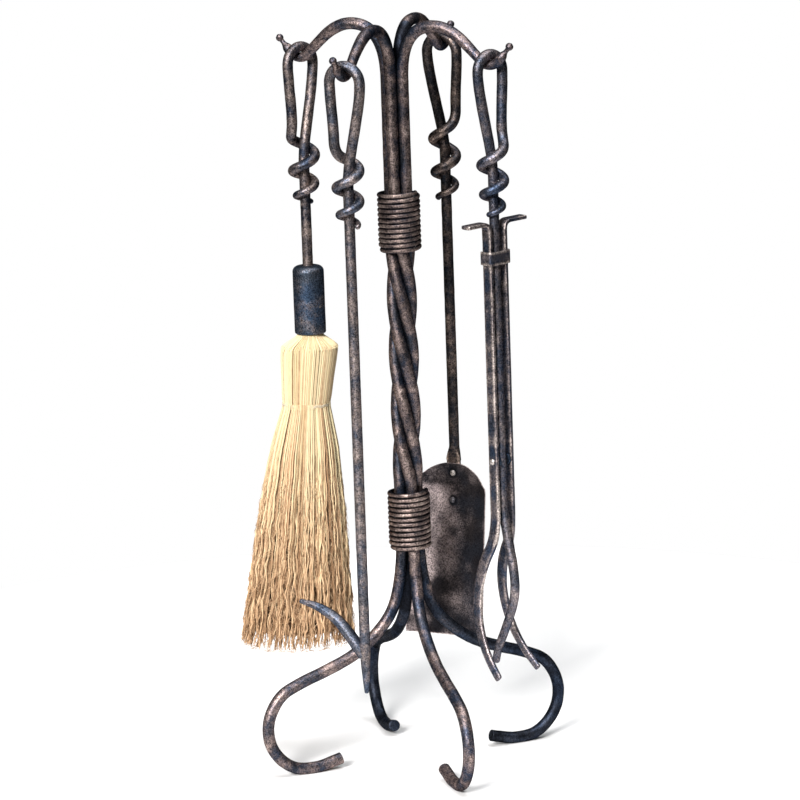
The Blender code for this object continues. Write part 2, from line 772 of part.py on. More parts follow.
def build_arm(name, side, parent):
    """An outer bar: a thumb tab bent outwards, a straight flat bar and a claw."""
    tab_end = forwards(side * (ARM_S + TAB_LENGTH), 0, ARM_TOP_Z)
    tab = [tab_end, tab_end + Vector((side * 0.001, 0, 0))]
    bend_start = forwards(side * (ARM_S + TAB_BEND), 0, ARM_TOP_Z)
    bend_end = forwards(side * ARM_S, 0, ARM_TOP_Z - TAB_BEND)
    corner = forwards(side * (ARM_S + TAB_BEND * 0.4), 0, ARM_TOP_Z)
    corner_end = forwards(side * ARM_S, 0, ARM_TOP_Z - TAB_BEND * 0.4)
    bend = interpolate_bezier(bend_start, corner, corner_end, bend_end, 6)
    straight = [forwards(side * ARM_S, 0, z) for z in (-0.25, -0.34, -0.412, -0.437)]
    claw = spline([forwards(side * out, front, z) for out, front, z in OUTER_CLAW], 2)
    path = tab + bend + straight + claw
    body = len(path) - len(claw)
    last = len(claw) - 1
    widths = [ARM_WIDTH * 0.7] + [ARM_WIDTH] * (body - 1)
    thicks = [ARM_THICK * 0.6] + [ARM_THICK] * (body - 1)
    for i in range(last + 1):
        share = i / last
        swell = CLAW_SWELL * math.sin(math.pi * share)
        widths.append(ARM_WIDTH + (CLAW_TIP_WIDTH - ARM_WIDTH) * share + swell)
        thicks.append(ARM_THICK + 0.0008 * math.sin(math.pi * share))
    widths[-1] *= 0.65
    thicks[-1] *= 0.65
    rings = flat_rings(path, widths, thicks, Vector((0, -1, 0)))
    arm = add_object(name, skin(rings), "wrought_iron", parent)
    cut(arm, pivot_hole())


def build_strap(parent):
    """A U of strip round the two outer bars, open behind, and clear of the shaft."""
    out = ARM_S + ARM_THICK / 2 + GAP
    front = ARM_WIDTH / 2 + 2 * GAP
    outline = (
        (out, -front),
        (out, front),
        (-out, front),
        (-out, -front),
        (-out - STRAP_SHEET, -front),
        (-out - STRAP_SHEET, front + STRAP_SHEET),
        (out + STRAP_SHEET, front + STRAP_SHEET),
        (out + STRAP_SHEET, -front),
    )
    levels = (STRAP_TOP_Z - STRAP_HEIGHT, STRAP_TOP_Z)
    rings = [[forwards(s, p, z) for s, p in outline] for z in levels]
    add_object("tongs_strap", skin(rings), "wrought_iron", parent)


def build_pivot(parent):
    """The rivet, its two domed heads, and the washers between the bars and the shaft."""
    face = ARM_S + ARM_THICK / 2 + GAP
    half = (
        (face + 0.0018, PIVOT_HEAD_R * 0.45),
        (face + 0.0010, PIVOT_HEAD_R * 0.88),
        (face + 0.0001, PIVOT_HEAD_R),
        (face, PIVOT_R),
    )
    profile = list(half) + [(-at, radius) for at, radius in reversed(half)]
    path = [forwards(at, 0, PIVOT_Z) for at, _ in profile]
    tube("tongs_pivot", path, [radius for _, radius in profile], "bright_rivet", parent, 12)
    inner = TONGS_ROD_R + GAP
    outer = ARM_S - ARM_THICK / 2 - GAP
    for name, side in (("tongs_washer_left", 1), ("tongs_washer_right", -1)):
        start = forwards(side * inner, 0, PIVOT_Z)
        end = forwards(side * outer, 0, PIVOT_Z)
        washer = add_object(name, cylinder(WASHER_R, start, end, 16), "black_iron", parent)
        cut(washer, pivot_hole())


def build_tongs():
    hang = tool_frame("tongs")
    path, radii = handle(rod_r=TONGS_ROD_R)
    claw = spline([forwards(*row) for row in MIDDLE_CLAW], 2)
    last = len(claw) - 1
    claw_radii = [TONGS_ROD_R + (CLAW_TIP_R - TONGS_ROD_R) * (i / last) ** 1.6 for i in range(last + 1)]
    claw.append(claw[-1] + (claw[-1] - claw[-2]).normalized() * 0.0016)
    claw_radii.append(CLAW_TIP_R * 0.55)
    straight = [Vector((0, 0, PIVOT_Z - 0.012)), Vector((0, 0, PIVOT_Z + 0.012)), Vector((0, 0, -0.25))]
    whole = claw[::-1] + straight + path
    shaft = tube("tongs_shaft", whole, claw_radii[::-1] + [TONGS_ROD_R] * 3 + radii, parent=hang)
    cut(shaft, pivot_hole())

    turning = add_empty("tongs_hinge", Matrix.Translation((0, 0, PIVOT_Z)), hang)
    holder = add_empty("tongs_arms", Matrix.Translation((0, 0, -PIVOT_Z)), turning)
    build_arm("tongs_arm_left", 1, holder)
    build_arm("tongs_arm_right", -1, holder)
    build_strap(holder)
    build_pivot(holder)


clear_scene()
build_stand()
build_broom()
build_poker()
build_shovel()
build_tongs()
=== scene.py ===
"""Fireplace tool set: the looks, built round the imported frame.

Metres, +Z up. Every iron piece is a finer, forged version of its CAD solid, made along nearly the same
curves and moved by the same bodies. The broom's head is modelled straw by straw instead of its solid.
"""

from math import cos, pi, radians, sin, sqrt, tan

import bpy
import numpy as np
from mathutils import Matrix, Vector
from mathutils.geometry import interpolate_bezier as bezier


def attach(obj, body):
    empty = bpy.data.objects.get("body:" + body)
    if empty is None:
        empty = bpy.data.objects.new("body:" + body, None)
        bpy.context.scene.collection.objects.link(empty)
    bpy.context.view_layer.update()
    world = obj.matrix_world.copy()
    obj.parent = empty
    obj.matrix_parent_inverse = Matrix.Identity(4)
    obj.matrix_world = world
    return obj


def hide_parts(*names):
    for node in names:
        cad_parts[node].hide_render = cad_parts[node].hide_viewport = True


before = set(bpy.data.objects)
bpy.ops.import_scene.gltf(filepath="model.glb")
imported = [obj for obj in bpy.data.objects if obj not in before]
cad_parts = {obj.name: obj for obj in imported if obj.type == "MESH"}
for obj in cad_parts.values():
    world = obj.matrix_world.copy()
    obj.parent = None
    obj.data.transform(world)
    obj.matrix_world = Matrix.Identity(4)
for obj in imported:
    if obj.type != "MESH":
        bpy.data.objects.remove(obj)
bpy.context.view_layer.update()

# Sizes of the CAD model. A tool's own heights count down from the middle of its hook's bend.
GAP = 0.0003
STEM_X = 0.0265
BAR_R = 0.00635
BUNDLE_R = 0.0094
ARCH_TOP_Z = 0.7936
ARCH_TOP_R = 0.0476
ARCH_START_PULL = 0.023
ARCH_TOP_PULLS = (0.022, 0.025)
STEM_PULL = 0.037
STEM_TOP_Z = 0.738
TWIST_TOP_Z = 0.5926
TWIST_BOTTOM_Z = 0.2976
TWIST = radians(408)
HOOK_R = 0.111
HOOK_Z = 0.7555
HOOK_BEND = 0.014
HOOK_INNER = radians(-45)
HOOK_OUTER = radians(50)
HOOK_BAR_R = 0.0052
TIP_LENGTH = 0.0195
BALL_R = 0.0041
NECK_R = 0.0024
NECK_START = 0.0033
NECK_END = 0.0062
NECK_TAPER = 0.0083

LEG = (  # radius and height
    (BUNDLE_R, 0.258), (BUNDLE_R, 0.238), (0.013, 0.2015), (0.0223, 0.169), (0.0409, 0.1447),
    (0.0677, 0.1242), (0.0983, 0.111), (0.1281, 0.1007), (0.1519, 0.0886), (0.1657, 0.0665),
    (0.1672, 0.043), (0.1577, 0.0224), (0.1392, 0.008), (0.1151, 0.0056), (0.0961, 0.0096),
    (0.0866, 0.012),
)
LEG_SPREAD_R = 0.030

WIRE_R = 0.0025
WIRE_PITCH = 0.0053
COLLAR_TURNS = 11.5
COLLAR_R = 0.0203
COLLAR_END_R = 0.0188
COLLAR_TUCK = 0.25
UPPER_COLLAR_Z = 0.5870
LOWER_COLLAR_Z = 0.2655

ROD_R = 0.0056
EYE_R = 0.0175
EYE_Z = HOOK_BAR_R + 0.0004 + ROD_R - EYE_R
EYE_LEG_X = 0.0146
EYE_LEG_Z = -0.066
EYE_PULLS = (0.020, 0.022)
SHOULDER_Z = (-0.088, -0.033)
SHAFT_TOP_Z = -0.110
WRAP_TURNS = 2.5
WRAP_TOP_Z = -0.081
WRAP_LENGTH = 0.0745
SHOVEL_WRAP_LENGTH = 0.083
WRAP_THINS_AT = 0.45
WRAP_END_R = 0.0029

FERRULE_TOP_Z = -0.2225
FERRULE_LENGTH = 0.073
FERRULE_R = 0.0167
FERRULE_WALL = 0.0016
FERRULE_ROUND = 0.0060
ROD_IN_CORE = 0.030
FIBRE_NECK_R = 0.0125
STITCH_Z = -0.3728
BROOM_WIDE = radians(207)
BROOM_LEAN = 0.026
FIBRE_PROFILE = (  # height, half width and half depth
    (-0.268, FIBRE_NECK_R, FIBRE_NECK_R), (-0.2985, FIBRE_NECK_R, FIBRE_NECK_R),
    (-0.302, 0.019, 0.0178), (-0.31, 0.0295, 0.0255), (-0.32, 0.0298, 0.0258),
    (-0.345, 0.0275, 0.0242), (STITCH_Z + 0.006, 0.0258, 0.0228), (STITCH_Z, 0.0246, 0.0218),
    (STITCH_Z - 0.006, 0.0264, 0.0232), (-0.42, 0.0365, 0.0308), (-0.49, 0.0465, 0.038),
    (-0.57, 0.055, 0.044), (-0.615, 0.06, 0.047), (-0.636, 0.061, 0.0475),
)

POKER_TIP_Z = -0.6535
POKER_TAPER = 0.045
POKER_TIP_R = 0.0022
POKER_POINT = ((0.0, 0.0), (0.04, 0.05), (0.25, 0.34), (0.5, 0.64), (0.75, 0.87), (1.0, 1.0))
PRONG_RADII = ((0.0, 0.0056), (0.12, 0.0067), (0.35, 0.0064), (0.6, 0.0053), (0.82, 0.0039), (1.0, 0.0024))
PRONG = ((0.002, -0.613), (0.016, -0.5935), (0.034, -0.575), (0.054, -0.5645), (0.0745, -0.56))

PAN_TOP_Z = -0.4530
PAN_LENGTH = 0.186
PAN_HALF_WIDTH = 0.0455
PAN_ROUND_END = 0.036
PAN_CREASE = 0.024
PAN_SHEET = 0.0016
PAN_WALL_TILT = radians(6)
PAN_SIDE_RISE = 0.017
PAN_FRONT_RISE = 0.006
PAN_FRONT_FLARE = 0.001
PAN_LEAN = radians(10.5)
SHOVEL_NECK = 0.016
TANG_WIDTH = 0.016
TANG_THICK = 0.0040
TANG_BOTTOM_Z = -0.5065
RIVET_Z = (-0.4645, -0.4950)
RIVET_HEAD_R = 0.0033
RIVET_HEAD_HEIGHT = 0.0022
RIVET_TAIL_HEIGHT = 0.0016

TONGS_ROD_R = 0.0053
PIVOT_Z = -0.4180
PIVOT_HEAD_R = 0.0034
PIVOT_HEAD_HEIGHT = 0.0021
ARM_S = 0.0108
ARM_WIDTH = 0.0125
ARM_THICK = 0.0045
ARM_TOP_Z = -0.1645
TAB_LENGTH = 0.0315
TAB_BEND = 0.0075
STRAP_TOP_Z = -0.1940
STRAP_HEIGHT = 0.0143
STRAP_SHEET = 0.0016
STRAP_CORNER_R = 0.0016
# Out, to the front, and height. The visible outer claws bend a little higher than the solids do.
OUTER_CLAW = (
    (ARM_S, 0.0, -0.478), (0.0113, -0.0018, -0.494), (0.0121, -0.006, -0.509),
    (0.0134, -0.014, -0.525), (0.0155, -0.02, -0.543), (0.018, -0.0227, -0.564),
    (0.021, -0.02, -0.589), (0.024, -0.0115, -0.612), (0.0266, 0.001, -0.631),
    (0.029, 0.017, -0.648),
)
MIDDLE_CLAW = (
    (0.0, 0.0, -0.46), (0.0, 0.002, -0.478), (0.0, 0.007, -0.504), (0.0, 0.0125, -0.529),
    (0.0, 0.015, -0.55), (0.0, 0.0125, -0.569), (0.0, 0.006, -0.586), (0.0, -0.003, -0.605),
    (0.0, -0.013, -0.625), (0.0, -0.0175, -0.6395),
)
CLAW_TIP_R = 0.0042
CLAW_TIP_WIDTH = 0.0085
CLAW_SWELL = 0.0015
CLAW_THICK_SWELL = 0.0008

HOOK_AZIMUTH = {"tongs": 0, "shovel": 90, "broom": 180, "poker": 270}  # degrees
TOOL_TURN = {"tongs": 70, "shovel": 0, "broom": 250, "poker": 180}  # degrees
LEG_TURN = {"tongs": 2.0, "shovel": -4.5, "broom": 0.0, "poker": -2.0}  # degrees

# Sizes of the looks' own. The visible wraps hug their rods and the twisted bars touch one another.
WRAP_START_GAP = 0.0011
WRAP_END_GAP = 0.0004
TWIST_SNUG = 0.0002
TWIST_STEPS = 140
WRAP_STEPS = 200
WRAP_SKIPPED = 10  # first steps of the wrap, which the bend from the eye's leg takes up
RIM_Z = -0.3100
TUFTS = 150
RIM_THIN = 0.45  # how thick the pan's sheet is at its rim, as a share
THINNEST = 0.0002
PROUD_RIVET = 0.0010  # how much further out the lower rivet of the pan stands
LOWEST_HAIR_Z = -0.6345
TWINE_R = 0.0006
HAMMER_DEPTH = 0.00022

# Camera and floor
CAMERA_AZIMUTH = radians(27.5)
CAMERA_ELEVATION = radians(12.55)
CAMERA_ROLL = radians(1.98)
CAMERA_DISTANCE = 5.0
CAMERA_AIM = (0.0178, 0.3915)  # to the right of the origin in the view, and above the floor
CAMERA_LENS = 212.3
FLOOR_R = 0.9
FLOOR_SIDES = 128

# How far bronze is rubbed on, from about -1 to 1: more at edges and less in the shade of other parts. Several
# of them also carry painted highlights and painted shade.
# Brighter corners: partly edge wear, partly a painted highlight on the edges.
EDGE_WEAR_AND_HIGHLIGHT = 1.1
# Bars and wire are brighter where they face out from the stem and black between the bars: rubbed bronze
# outside, painted shade in between.
BUNDLE_WEAR_AND_SHADE = 0.75
COLLAR_WEAR_AND_SHADE = 1.2
UPPER_STEM_WEAR = 0.15
ARCH_WEAR = -0.13
ARCH_WEAR_Z = (0.70, 0.74)
# Painted shade on the tongs' and shovel's legs and painted light on the broom's leg: amount, start and full
# height.
LEG_PAINTED_LIGHT = {"tongs": (-0.55, 0.20, 0.12), "shovel": (-0.55, 0.20, 0.12), "broom": (0.14, 0.15, 0.08)}
# A darker ring round each rivet of the pan, and how wide it is.
RIVET_RING_DARKENING = -0.75
RIVET_RING_R = 0.0052
# The pan's rim: partly edge wear, partly a painted highlight.
RIM_WEAR_AND_HIGHLIGHT = 1.3
BROOM_DULL = ((-0.20, -0.17, 0.12),)  # start, full height and amount of each darker stretch
POKER_DULL = ((-0.48, -0.55, 0.26), (-0.20, -0.17, 0.17))
PRONG_DULL = ((-0.54, -0.55, 0.38),)
# A painted highlight along one edge of the tongs: the way that edge faces, and the height below which it is
# brightest.
PAINTED_HIGHLIGHT = ((0, -1, 0), -0.432)  # the bright edge of the tongs: the way it faces, and its upper end


# Materials


class Nodes:
    """Short calls for building a material's node tree."""

    def __init__(self, name):
        self.material = bpy.data.materials.new(name)
        self.material.use_nodes = True
        self.tree = self.material.node_tree
        self.shader = self.tree.nodes["Principled BSDF"]
        self.place = self.add("ShaderNodeTexCoord", "Object", {})

    def feed(self, socket, value):
        """Set a socket to a number or colour, or link it to another node's output."""
        if isinstance(value, bpy.types.NodeSocket):
            self.tree.links.new(value, socket)
        else:
            socket.default_value = value

    def add(self, kind, output, inputs, **settings):
        """Add a node, feed its inputs and give one of its outputs."""
        node = self.tree.nodes.new(kind)
        for key, value in settings.items():
            setattr(node, key, value)
        for key, value in inputs.items():
            self.feed(node.inputs[key], value)
        return node.outputs[output]

    def noise(self, scale, detail=3.0, roughness=0.55, stretch=None):
        place = self.place
        if stretch:
            place = self.add("ShaderNodeMapping", "Vector", {"Vector": place, "Scale": stretch})
        inputs = {"Vector": place, "Scale": scale, "Detail": detail, "Roughness": roughness}
        return self.add("ShaderNodeTexNoise", "Fac", inputs)

    def attribute(self, name):
        return self.add("ShaderNodeAttribute", "Fac", {}, attribute_name=name)

    def product(self, first, second):
        return self.add("ShaderNodeMath", "Value", {0: first, 1: second}, operation="MULTIPLY")

    def total(self, *terms):
        """The sum of (weight, value) pairs."""
        result = 0.0
        for weight, value in terms:
            inputs = {0: value, 1: weight, 2: result}
            result = self.add("ShaderNodeMath", "Value", inputs, operation="MULTIPLY_ADD")
        return result

    def ramp(self, value, low, high, to_low=0.0, to_high=1.0):
        inputs = {"Value": value, "From Min": low, "From Max": high, "To Min": to_low, "To Max": to_high}
        return self.add("ShaderNodeMapRange", "Result", inputs, interpolation_type="SMOOTHSTEP")

    def mix(self, factor, first, second):
        """Mix two colours. The node's sockets share their names, so they go by number."""
        first, second = ((*value, 1.0) if isinstance(value, tuple) else value for value in (first, second))
        return self.add("ShaderNodeMix", 2, {0: factor, 6: first, 7: second}, data_type="RGBA")

    def bump(self, height, distance, strength):
        inputs = {"Height": height, "Distance": distance, "Strength": strength}
        self.set(Normal=self.add("ShaderNodeBump", "Normal", inputs))

    def set(self, **values):
        for key, value in values.items():
            self.feed(self.shader.inputs[key.replace("_", " ")], value)


BROAD_SHARE, MOTTLED_SHARE, FINE_SHARE, HIGH_SHARE = 0.36, 0.42, 0.50, 0.45
# Black for hollows and speckle, and for painted shade where the high attribute is low.
BLACK_FOR_HOLLOWS_AND_SHADE = (0.005, 0.005, 0.007)
BLUED = (0.80, 1.0, 1.25)


def iron(name, dark, bronze, light, rubbed=0.0, speckle=1.0, metallic=0.88, patches=1.0):
    """Black iron with bronze rubbed over its high places: soft patches, mottling and fine speckle, and the
    painted highlights and painted shade that the high attribute carries.
    """
    n = Nodes(name)
    broad = n.noise(45, 2.0)
    mottled = n.noise(260, 4.0, 0.65)
    fine = n.noise(1100, 2.0, 0.7)
    weights = [BROAD_SHARE * patches, MOTTLED_SHARE * patches, FINE_SHARE * speckle, HIGH_SHARE]
    # How worn each point is, with the painted light and shade of the high attribute mixed in.
    worn = n.total(*zip(weights, (broad, mottled, fine, n.attribute("high"))))
    middle = 0.5 * sum(weights) - rubbed
    amount = n.ramp(worn, middle - 0.12, middle + 0.26)
    bright = n.ramp(worn, middle + 0.12, middle + 0.42)
    # How much colour shows over black: little in hollows and in painted shade.
    bare = n.ramp(worn, middle - 0.42, middle - 0.10, 0.25, 1.0)
    blue = tuple(part * factor for part, factor in zip(dark, BLUED))
    base = n.mix(n.ramp(n.noise(30, 2.0), 0.38, 0.64), dark, blue)
    colour = n.mix(bright, n.mix(amount, base, bronze), light)
    grain = n.ramp(n.noise(640, 3.0, 0.75), 0.38, 0.58, 0.20, 1.0)
    colour = n.mix(n.product(bare, grain), BLACK_FOR_HOLLOWS_AND_SHADE, colour)
    rough = n.total((0.5, mottled), (0.5, fine))
    n.set(Base_Color=colour, Metallic=metallic, Roughness=n.ramp(rough, 0.3, 0.7, 0.33, 0.50))
    n.set(Specular_IOR_Level=0.25, Specular_Tint=(0.08, 0.08, 0.09, 1.0))
    n.bump(rough, 0.0008, 0.7)
    return n.material


def fibre(name, pale, brown, shadow):
    """Dry straw: pale at the top and brown at the tips, each straw its own tone, with dull streaks that mix
    in a shadow colour as painted shade, more of it lower down.
    """
    n = Nodes(name)
    drop = n.attribute("drop")
    tone = n.attribute("tone")
    streak = n.noise(700, 2.0, 0.5, (1.0, 1.0, 0.10))
    blotch = n.noise(160, 3.0, 0.6)
    aged = n.ramp(n.total((0.80, drop), (0.70, tone), (0.35, streak), (0.25, blotch)), 0.55, 1.30)
    colour = n.mix(aged, pale, brown)
    dull = n.ramp(n.total((0.62, tone), (0.35, streak), (0.25, blotch), (0.44, drop)), 0.72, 1.23)
    colour = n.mix(n.product(dull, 0.85), colour, shadow)
    n.set(Base_Color=colour, Roughness=0.62, Specular_IOR_Level=0.3)
    n.bump(streak, 0.0002, 0.4)
    return n.material


def twine():
    n = Nodes("waxed_twine")
    strand = n.noise(900, 2.0, 0.6)
    n.set(Base_Color=n.mix(strand, (0.30, 0.22, 0.13), (0.80, 0.72, 0.56)), Roughness=0.6)
    n.bump(strand, 0.0003, 0.6)
    return n.material


def wood():
    n = Nodes("turned_wood")
    grain = n.noise(120, 4.0, 0.6, (1.0, 1.0, 0.06))
    n.set(Base_Color=n.mix(grain, (0.30, 0.17, 0.08), (0.55, 0.36, 0.19)), Roughness=0.7)
    n.bump(grain, 0.0003, 0.5)
    return n.material


def floor_finish():
    n = Nodes("pale_floor")
    n.set(Base_Color=n.mix(n.noise(3, 2.0), (0.77, 0.77, 0.77), (0.79, 0.79, 0.79)), Roughness=0.9)
    n.set(Specular_IOR_Level=0.1)
    return n.material


DARK = (0.054, 0.062, 0.082)
IRONS = {
    "stand": (DARK, (0.37, 0.275, 0.25), (0.88, 0.71, 0.65), 0.02),
    "collar": ((0.060, 0.052, 0.055), (0.42, 0.31, 0.275), (0.90, 0.74, 0.66), 0.06),
    "broom": (DARK, (0.48, 0.38, 0.34), (0.95, 0.78, 0.68), 0.10),
    "poker": ((0.125, 0.128, 0.148), (0.54, 0.43, 0.39), (0.98, 0.87, 0.80), 0.08),
    "shovel": ((0.045, 0.045, 0.050), (0.30, 0.225, 0.19), (0.85, 0.66, 0.55), 0.01),
    "tongs": ((0.082, 0.096, 0.128), (0.36, 0.30, 0.30), (0.90, 0.78, 0.72), 0.02),
    "pan": ((0.030, 0.026, 0.027), (0.46, 0.375, 0.37), (0.70, 0.58, 0.56), 0.0, 0.6, 0.5, 0.45),
    "ferrule": ((0.090, 0.116, 0.155), (0.33, 0.28, 0.28), (0.80, 0.62, 0.50), 0.02, 1.3),
    "worn_rivet": ((0.20, 0.18, 0.18), (0.46, 0.40, 0.38), (0.85, 0.78, 0.74), 0.10),
    "rivet": ((0.34, 0.29, 0.26), (0.66, 0.57, 0.52), (0.92, 0.85, 0.80), 0.30),
}
FINISHES = {key: iron(key + "_iron", *values) for key, values in IRONS.items()}
FINISHES["straw"] = fibre("broom_straw", (0.68, 0.58, 0.36), (0.63, 0.41, 0.24), (0.19, 0.10, 0.045))
# Shade colours for the dark sheet inside the head: painted shade.
FINISHES["heart"] = fibre("broom_shaded_heart", (0.34, 0.23, 0.11), (0.10, 0.055, 0.025), (0.04, 0.02, 0.01))
FINISHES["twine"] = twine()
FINISHES["wood"] = wood()


# Curves and surfaces


def cells(points, seed):
    """A repeatable random number from -1 to 1 for each whole-numbered point."""
    key = points[..., 0] * 73856093 + points[..., 1] * 19349663 + points[..., 2] * 83492791 + seed * 83492
    key = (key ^ (key >> 13)) * 1274126177 & 0xFFFFFFFF
    key = (key ^ (key >> 16)) * 668265263 & 0xFFFFFFFF
    return (key ^ (key >> 15)) % 65536 / 32767.5 - 1


def soft_noise(points, size, seed):
    """Smooth noise from -1 to 1 whose features are about `size` across."""
    scaled = points / size + 1000
    whole = np.floor(scaled).astype(np.int64)
    part = scaled - whole
    part = part * part * (3 - 2 * part)
    result = 0
    for corner in np.ndindex(2, 2, 2):
        share = np.prod(np.abs(1 - np.array(corner) - part), axis=-1)
        result = result + share * cells(whole + corner, seed)
    return result


def unit(vectors):
    """The same directions, each one long."""
    return vectors / np.linalg.norm(vectors, axis=-1, keepdims=True)


def round_angles(count):
    """Angles at even steps all the way round."""
    return 2 * pi * np.arange(count) / count


def smooth_line(rows, times):
    """Round off the corners of rows of numbers, keeping the first and last."""
    for _ in range(times):
        rows[1:-1] = 0.25 * rows[:-2] + 0.5 * rows[1:-1] + 0.25 * rows[2:]
    return rows


def resampled(columns, spacing, start_round, end_round):
    """Rows along a path at even steps, closer together where the ends are rounded."""
    steps = np.linalg.norm(np.diff(columns[:, :3], axis=0), axis=1)
    columns = columns[np.concatenate([[True], steps > 1e-7])]
    steps = steps[steps > 1e-7]
    along = np.concatenate([[0], np.cumsum(steps)])
    length = along[-1]
    near = np.linspace(0, pi / 2, 7)[:-1]
    start = start_round * (1 - np.cos(near))
    end = length - end_round * (1 - np.cos(near))[::-1]
    middle = np.linspace(start_round, length - end_round, max(3, int(length / spacing)))
    at = np.concatenate([start] * (start_round > 0) + [middle] + [end] * (end_round > 0))
    rows = np.stack([np.interp(at, along, column) for column in columns.T], axis=1)
    return rows, at, length


def side_vectors(along, across, first_side):
    """For each point, a direction across the path: nearest to `across`, or turned as little as possible."""
    side = np.array(first_side or Vector(along[0]).orthogonal(), float)
    sides = []
    for forward in along:
        side = np.array(across, float) if across else side
        side = unit(side - forward * side.dot(forward))
        sides.append(side)
    return np.array(sides)


def sweep(
    path, widths, thicks=None, powers=2.0, spacing=0.0016, count=20, ends=(0.001, 0.001),
    across=None, side=None,
):
    """Rings of points along a path, their outward directions, and how near each point is to a corner.

    A section is round at power 2 and a bar with soft corners above it. `ends` are the ends' roundings.
    """
    thicks = widths if thicks is None else thicks
    powers = powers + np.zeros(len(path))
    columns = np.column_stack([np.array([tuple(p) for p in path]), widths, thicks, powers])
    rows, at, length = resampled(columns, spacing, *ends)
    rows[:, :3] = smooth_line(rows[:, :3], 2)
    points = rows[:, :3]
    along = unit(np.gradient(points, axis=0))
    wide = side_vectors(along, across, side)
    thin = np.cross(along, wide)
    for end, reach in ((ends[0], at), (ends[1], length - at)):
        if end > 0:
            inside = np.clip(reach / end, 0, 1)
            cut = end * (1 - np.sqrt(1 - (1 - inside) ** 2))
            rows[:, 3:5] = np.maximum(rows[:, 3:5] - cut[:, None], THINNEST)
    angles = 2 * pi * (np.arange(count) + 0.5) / count
    c, s = np.cos(angles), np.sin(angles)
    bend = 2 / rows[:, 5:6]
    a = np.sign(c) * np.abs(c) ** bend * rows[:, 3:4]
    b = np.sign(s) * np.abs(s) ** bend * rows[:, 4:5]
    rings = points[:, None] + wide[:, None] * a[..., None] + thin[:, None] * b[..., None]
    corner = np.abs(a * b) / (rows[:, 3:4] * rows[:, 4:5])
    return rings, unit(rings - points[:, None]), np.clip((corner - 0.5) / 0.4, 0, 1)


def grid_faces(rings, count, closed=False):
    """Quads between rings of points that close on themselves, with a flat cap at each open end."""
    i = np.arange(rings if closed else rings - 1)[:, None] * count
    j = np.arange(count)[None, :]
    k = (j + 1) % count
    up = (i + count) % (rings * count)
    faces = np.stack([i + j, i + k, up + k, up + j], axis=2).reshape(-1, 4).tolist()
    if not closed:
        faces.append(list(range(count))[::-1])
        faces.append([(rings - 1) * count + n for n in range(count)])
    return faces


def add_object(name, data):
    thing = bpy.data.objects.new(name, data)
    bpy.context.scene.collection.objects.link(thing)
    return thing


def add_mesh(name, points, faces, finish, body, nodes, attributes):
    """A visible piece: its mesh, its finish, the body it moves with and the CAD nodes it stands for.

    A tool's points are given as if its hook's bend were at the origin, and are moved to its hook here.
    """
    points = points.reshape(-1, 3)
    if body != "stand":
        points = moved(points, tool_matrix(body.split("_")[0]))
    data = bpy.data.meshes.new(name)
    data.from_pydata(points.tolist(), [], faces)
    data.shade_smooth()
    data.set_sharp_from_angle(angle=radians(50))
    for key, values in attributes.items():
        layer = data.attributes.new(key, "FLOAT", "POINT")
        layer.data.foreach_set("value", np.asarray(values, np.float32).ravel())
    data.materials.append(FINISHES[finish])
    piece = add_object(name, data)
    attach(piece, body)
    for node in nodes:
        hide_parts(node)


def forged(points, outward, seed, depth=HAMMER_DEPTH):
    """Hammer marks: points moved in and out by soft noise. Also returns how high each one stands."""
    blows = soft_noise(points, 0.011, seed)
    marks = soft_noise(points, 0.0042, seed + 1)
    height = 0.65 * blows + 0.35 * marks
    return points + outward * (depth * height)[..., None], 0.5 + 0.5 * height


def add_iron(name, rings, high, finish, body):
    faces = grid_faces(*rings.shape[:2])
    add_mesh(name + "_forged", rings, faces, finish, body, [name], {"high": high})


def forged_piece(
    name, path, widths, finish, body, seed,
    depth=HAMMER_DEPTH, around_stem=0.0, painted_highlight=None, dull=(), **how,
):
    """A swept and hammered piece of iron that stands for the CAD node of the same name.

    The highlight argument is a direction and a height: the edge that faces that way gets a painted highlight,
    most of all below it.
    `dull` holds a start, a full height and an amount for each stretch that is darker.
    """
    rings, outward, corner = sweep(path, widths, **how)
    facing = stem_facing(rings, outward, around_stem)
    rings, high = forged(rings, outward, seed, depth)
    # Corners: edge wear and a painted highlight.
    high = high + EDGE_WEAR_AND_HIGHLIGHT * corner * soft_step(soft_noise(rings, 0.02, seed + 3), -0.8, 0.3)
    # Rubbed bronze where the wire faces out from the stem, painted shade where it faces in.
    high = high + facing
    for start, full, amount in dull:
        high = high - amount * soft_step(rings[..., 2], start, full)
    # A painted highlight along one edge.
    if painted_highlight is not None:
        edge = soft_step((outward * painted_highlight[0]).sum(axis=2), 0.93, 0.97)
        high = high + edge * (0.30 + 1.30 * soft_step(rings[..., 2], painted_highlight[1], painted_highlight[1] - 0.02))
    add_iron(name, rings, high, finish, body)


def soft_step(value, low, high):
    share = np.clip((value - low) / (high - low), 0, 1)
    return share * share * (3 - 2 * share)


def stem_facing(rings, outward, strength):
    """How far each point near the stem faces away from it: what faces out gets rubbed bronze, and what faces
    in between the bars stays black as painted shade.
    """
    away = rings - (STEM_X, 0, 0)
    away[..., 2] = 0
    distance = np.linalg.norm(away, axis=2)
    facing = (outward * away).sum(axis=2) / np.maximum(distance, 1e-6)
    near = soft_step(distance.mean(axis=1), 0.034, 0.022)[:, None]
    return near * strength * (facing - 0.75)


def moved(points, matrix):
    """An array of points moved by a matrix."""
    m = np.array(matrix)
    return points @ m[:3, :3].T + m[:3, 3]


def spline(points, steps):
    """A smooth line through all the points, with a number of steps between each two of them."""
    ends = [points[0] * 2 - points[1]] + list(points) + [points[-1] * 2 - points[-2]]
    path = [points[0].copy()]
    for a, b, c, d in zip(ends, ends[1:], ends[2:], ends[3:]):
        path += bezier(b, b + (c - a) / 6, c - (d - b) / 6, c, steps + 1)[1:]
    return path


